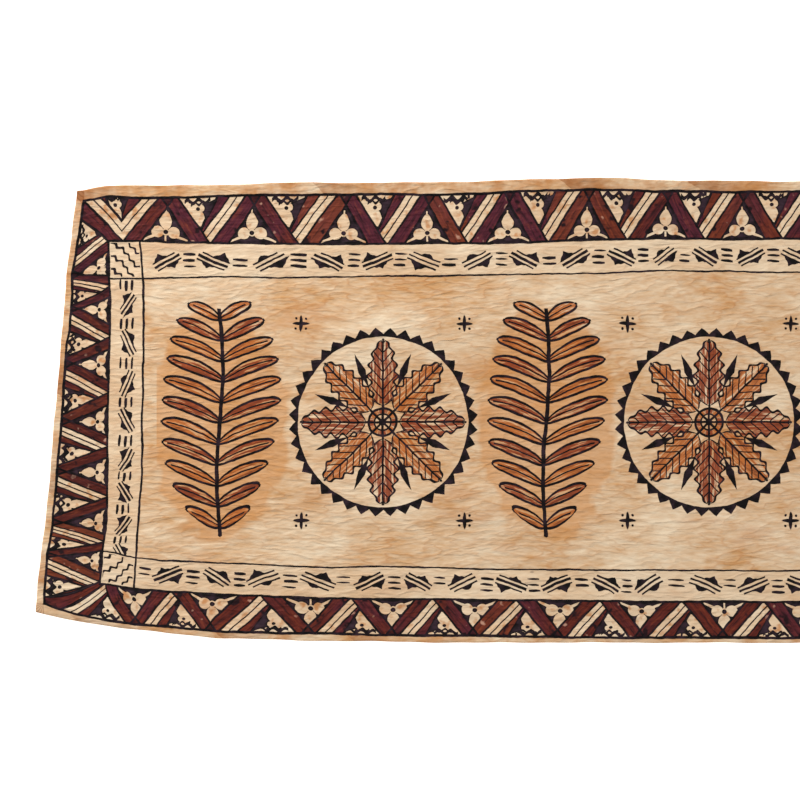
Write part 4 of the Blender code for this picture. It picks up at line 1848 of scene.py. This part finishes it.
@dataclass
class ClothFinish:
    """The cloth's two faces: the painted one, and the bare back.

    Attributes:
        field_half: half the length of the painted field, in metres.
        turned_strip: how far inside the outer line the turned-under strip ends on the back.
    """

    bark: BarkFinish = BarkFinish()
    ink: InkFinish = InkFinish()
    maroon: MaroonFinish = MaroonFinish()
    rust: RustFinish = RustFinish()
    paint_roughness: float = 0.72
    specular: float = 0.12
    field_half: float = 0.718
    turned_strip: float = 22.0

    def material(self, pattern: Pattern) -> bpy.types.Material:
        """Makes one face's material.

        Args:
            pattern: the face that it is for.

        Returns:
            The material.
        """
        board = Board(pattern.value)
        place = board.node("ShaderNodeTexCoord").outputs["Object"]
        ground = self.bark.colour(board, place)
        if pattern is Pattern.PAINTED:
            colour, paint = self.painted(board, place, ground)
        else:
            colour, paint = self.back(board, place, ground), 0.0
        change = self.paint_roughness - self.bark.roughness
        shader = board.node(
            "ShaderNodeBsdfPrincipled",
            None,
            {
                "Base Color": colour,
                "Roughness": paint * change + self.bark.roughness,
                "Metallic": 0.0,
                "Specular IOR Level": self.specular,
                "Normal": self.bark.relief(board, place),
            },
        )
        board.node("ShaderNodeOutputMaterial", None, {"Surface": shader.outputs[0]})
        return board.material

    def back(self, board: Board, place: bpy.types.NodeSocket, ground: Colour) -> Colour:
        """The bare back: darker bark, and the turned-under strip a shade lighter."""
        side = board.split(board.stored("side_inset"))
        end = board.split(board.stored("end_inset"))
        ragged = (board.grain(place, 45.0, 3.0, 0.6) - 0.5) * 14.0
        turned = board.covered(side[0].least(end[0]) + ragged - self.turned_strip, 1.2)
        return board.tint(turned * 0.2 + 0.18, ground, self.bark.hem)

    def painted(self, board: Board, place: bpy.types.NodeSocket, ground: Colour) -> tuple[Colour, Wire]:
        """The painted face.

        Args:
            board: the material's nodes.
            place: Object coordinates, in metres.
            ground: the bare bark's colour.

        Returns:
            The colour, and how much of it is paint.
        """
        hand = Hand(board, place)
        metres = board.split(place)
        upper = metres[1] > 0.0
        border = Border(board, hand)
        outer = border.outer_band((metres[0] < 0.0) * upper)
        bare, maroon, crossing = outer.shapes()
        field_place = (metres[0] * 1000.0 + hand.aside, metres[1] * 1000.0 + hand.up)
        motif, brush, wash = FieldDesign(board, *field_place).shapes()
        in_field = (border.inner_line > 0.0) * (abs(metres[0]) < self.field_half)
        lines = border.ruled_lines()
        ground_ink = bare.least(maroon)
        ink = board.covered(lines).most(border.in_outer * board.covered(-ground_ink))
        leaf_ink = board.covered(border.inner_band().ink() - hand.weight * 0.4)
        ink = ink.most(border.in_inner * leaf_ink)
        step_ink = board.covered(border.steps(upper) - hand.weight * 0.7)
        ink = ink.most(border.in_square * step_ink)
        ink = ink.most(in_field * board.covered(motif.ink - hand.weight * 0.35))
        in_border = (border.outer_line > 0.0) * (border.inner_line < 0.0)
        ground = board.tint(in_border * 0.42, ground, self.bark.pale)
        colour = self.hemmed(board, place, ground, border)
        blotch = board.grain(place, 85.0, 2.0, 0.5) + outer.stain.held() * 0.12
        blotch = ((blotch - 0.55) * 6.0).held() * border.in_outer
        colour = board.tint(blotch * 0.8, colour, self.bark.wash)
        loose = (board.grain(place, 22.0, 2.0, 0.6) - 0.5) * 46.0
        washed = in_field * board.covered(wash + loose, 8.0)
        colour = board.tint(washed * 0.6, colour, self.rust.wash)
        streak = board.grain(brush, 1.0, 3.0, 0.62)
        dyed = in_field * board.covered(motif.dyed + hand.weight * 1.5, 1.2)
        dyed = dyed * ((streak - 0.4) * 12.0).held()
        colour = board.tint(dyed * 0.95, colour, self.rust.colour(board, streak, motif.choice))
        barred = border.in_outer * board.covered(maroon - 0.7)
        bar_dye = self.maroon.colour(board, place, outer, metres)
        bar_dye = board.tint(board.covered(crossing, 1.0) * 0.65, bar_dye, self.maroon.pool)
        colour = board.tint(barred, colour, bar_dye)
        within = ((ground_ink.least(lines) - 0.9) * 0.7).held() * border.in_outer
        colour = board.tint(ink * 0.995, colour, self.ink.colour(board, place, within))
        return colour, ink.most(barred)

    def hemmed(
        self, board: Board, place: bpy.types.NodeSocket, ground: Colour, border: Border
    ) -> bpy.types.NodeSocket:
        """The bare margin: browner and blotched, with darker seams and folded corners, and painted shade
        along the corners' pleats and creases.

        Args:
            board: the material's nodes.
            place: Object coordinates, in metres.
            ground: the bare bark's colour.
            border: the painted border, outside which the margin lies.

        Returns:
            A colour socket.
        """
        inside = border.outer_line
        margin = board.covered(inside)
        tone = board.grain(place, 30.0, 3.0, 0.65)
        upper = board.split(place)[1] > 0.0
        shade = ((tone - 0.47 + upper * 0.07) * 4.0).held() * 0.85
        colour = board.tint(margin * shade, ground, self.bark.hem)
        slanted = board.node(
            "ShaderNodeVectorMath", {"operation": "DOT_PRODUCT"}, {0: place, 1: (6.1, 7.3, 0.0)}
        )
        around = Wire(board, slanted.outputs["Value"]) + (tone - 0.5) * 0.12
        seam = (1.3 - around.part() * 2.9).held()
        strength = board.random(around - around.part(), 8.1) * 1.8 - 0.75
        seam = seam * (strength + upper * 0.55).held() * (tone * 1.4 - 0.05).held()
        colour = board.tint(margin * seam, colour, self.bark.seam)
        rim = board.covered(inside + 12.0, 6.0) * ((tone - 0.4) * 3.0).held()
        colour = board.tint(rim * 0.5, colour, self.bark.wash)
        beside, beyond = border.side[0], border.end[0]
        fold = board.covered(beside.most(beyond), 0.8)
        colour = board.tint(fold * (tone * 0.5 + upper * 0.36), colour, self.bark.seam)
        # Dark lines of painted shade along the corners' folds: radial pleats in the lower corners and
        # diagonal creases in the upper ones.
        fan = board.maths("ARCTAN2", beside, beyond) * 3.4
        pleat_shade = (1.0 - abs(fan.part() - 0.5) * 5.0).held() * 0.65 * (1.0 - upper)
        crease_shade = ((beside - beyond) * 0.9 + tone * 9.0).sine().held() * 0.4 * upper
        return board.tint(fold * pleat_shade.most(crease_shade), colour, self.bark.fleck_and_fold_shade)


@dataclass
class Studio:
    """The plain pale floor, the soft lights and the camera above the cloth's left end.

    Attributes:
        view_width: how much of the floor the camera sees across, in metres.
        centre: the place that it looks down on.
        lens: its focal length, in millimetres.
        sensor: its sensor's width.
        floor_size: the floor's side, in metres.
        floor_drop: the floor's height, just under the cloth.
    """

    view_width: float = 1.04
    centre: tuple[float, float] = (-0.4017, 0.0137)
    lens: float = 85.0
    sensor: float = 36.0
    floor_size: float = 9.0
    floor_drop: float = -0.0003

    def camera(self) -> None:
        """A camera that looks straight down, as far up as its lens needs for the view."""
        data = bpy.data.cameras.new("camera")
        data.lens = self.lens
        data.sensor_width = self.sensor
        camera = bpy.data.objects.new("camera", data)
        height = self.view_width * self.lens / self.sensor
        camera.location = (*self.centre, height)
        bpy.context.scene.collection.objects.link(camera)
        bpy.context.scene.camera = camera

    def light(self, name: str, place: tuple[float, float, float], size: float, power: float) -> None:
        """A square soft light that points at the cloth's middle."""
        data = bpy.data.lights.new(name, "AREA")
        data.size = size
        data.energy = power
        lamp = bpy.data.objects.new(name, data)
        lamp.location = place
        aim = Vector((self.centre[0] / 2, 0.0, 0.0)) - Vector(place)
        lamp.rotation_mode = "QUATERNION"
        lamp.rotation_quaternion = aim.to_track_quat("-Z", "Y")
        bpy.context.scene.collection.objects.link(lamp)

    def floor(self) -> None:
        """A wide pale floor just under the cloth, bright enough to read as white paper."""
        board = Board("pale_floor")
        shader = board.node(
            "ShaderNodeBsdfPrincipled",
            None,
            {
                "Base Color": (0.93, 0.93, 0.93, 1.0),
                "Roughness": 0.9,
                "Emission Color": (1.0, 1.0, 1.0, 1.0),
                "Emission Strength": 0.8,
            },
        )
        board.node("ShaderNodeOutputMaterial", None, {"Surface": shader.outputs[0]})
        half = self.floor_size / 2
        mesh = bpy.data.meshes.new("floor")
        plan = ((-half, -half), (half, -half), (half, half), (-half, half))
        mesh.from_pydata([(x, y, self.floor_drop) for x, y in plan], [], [(0, 1, 2, 3)])
        mesh.materials.append(board.material)
        floor = bpy.data.objects.new("floor", mesh)
        bpy.context.scene.collection.objects.link(floor)

    def surroundings(self) -> None:
        """An even pale surrounding light, and colours shown as they are."""
        world = bpy.data.worlds.new("studio")
        world.use_nodes = True
        background = world.node_tree.nodes["Background"]
        background.inputs["Color"].default_value = (1.0, 0.99, 0.975, 1.0)
        background.inputs["Strength"].default_value = 0.5
        bpy.context.scene.world = world
        bpy.context.scene.view_settings.view_transform = "Standard"

    def build(self) -> None:
        """Sets up the whole studio."""
        self.camera()
        self.floor()
        self.surroundings()
        self.light("key", (-2.1, 2.0, 1.25), 1.1, 82.0)
        self.light("fill", (1.6, -1.4, 2.2), 2.2, 18.0)


def main() -> None:
    """Builds the cloth and its studio in order, and reports each piece."""
    logging.basicConfig(level=logging.INFO, format="%(name)s: %(message)s")
    cloth = ClothSheet().build("painted_bark_cloth")
    finish = ClothFinish()
    for pattern in Pattern:
        cloth.data.materials.append(finish.material(pattern))
        nodes = len(cloth.data.materials[-1].node_tree.nodes)
        LOG.info("finish %s: %d nodes", pattern.value, nodes)
    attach(cloth, "root")
    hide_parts("bark_cloth")
    LOG.info("cloth: %d points, %d faces", len(cloth.data.vertices), len(cloth.data.polygons))
    Studio().build()
    LOG.info("studio: floor, two lights and the camera")


if __name__ == "__main__":
    main()
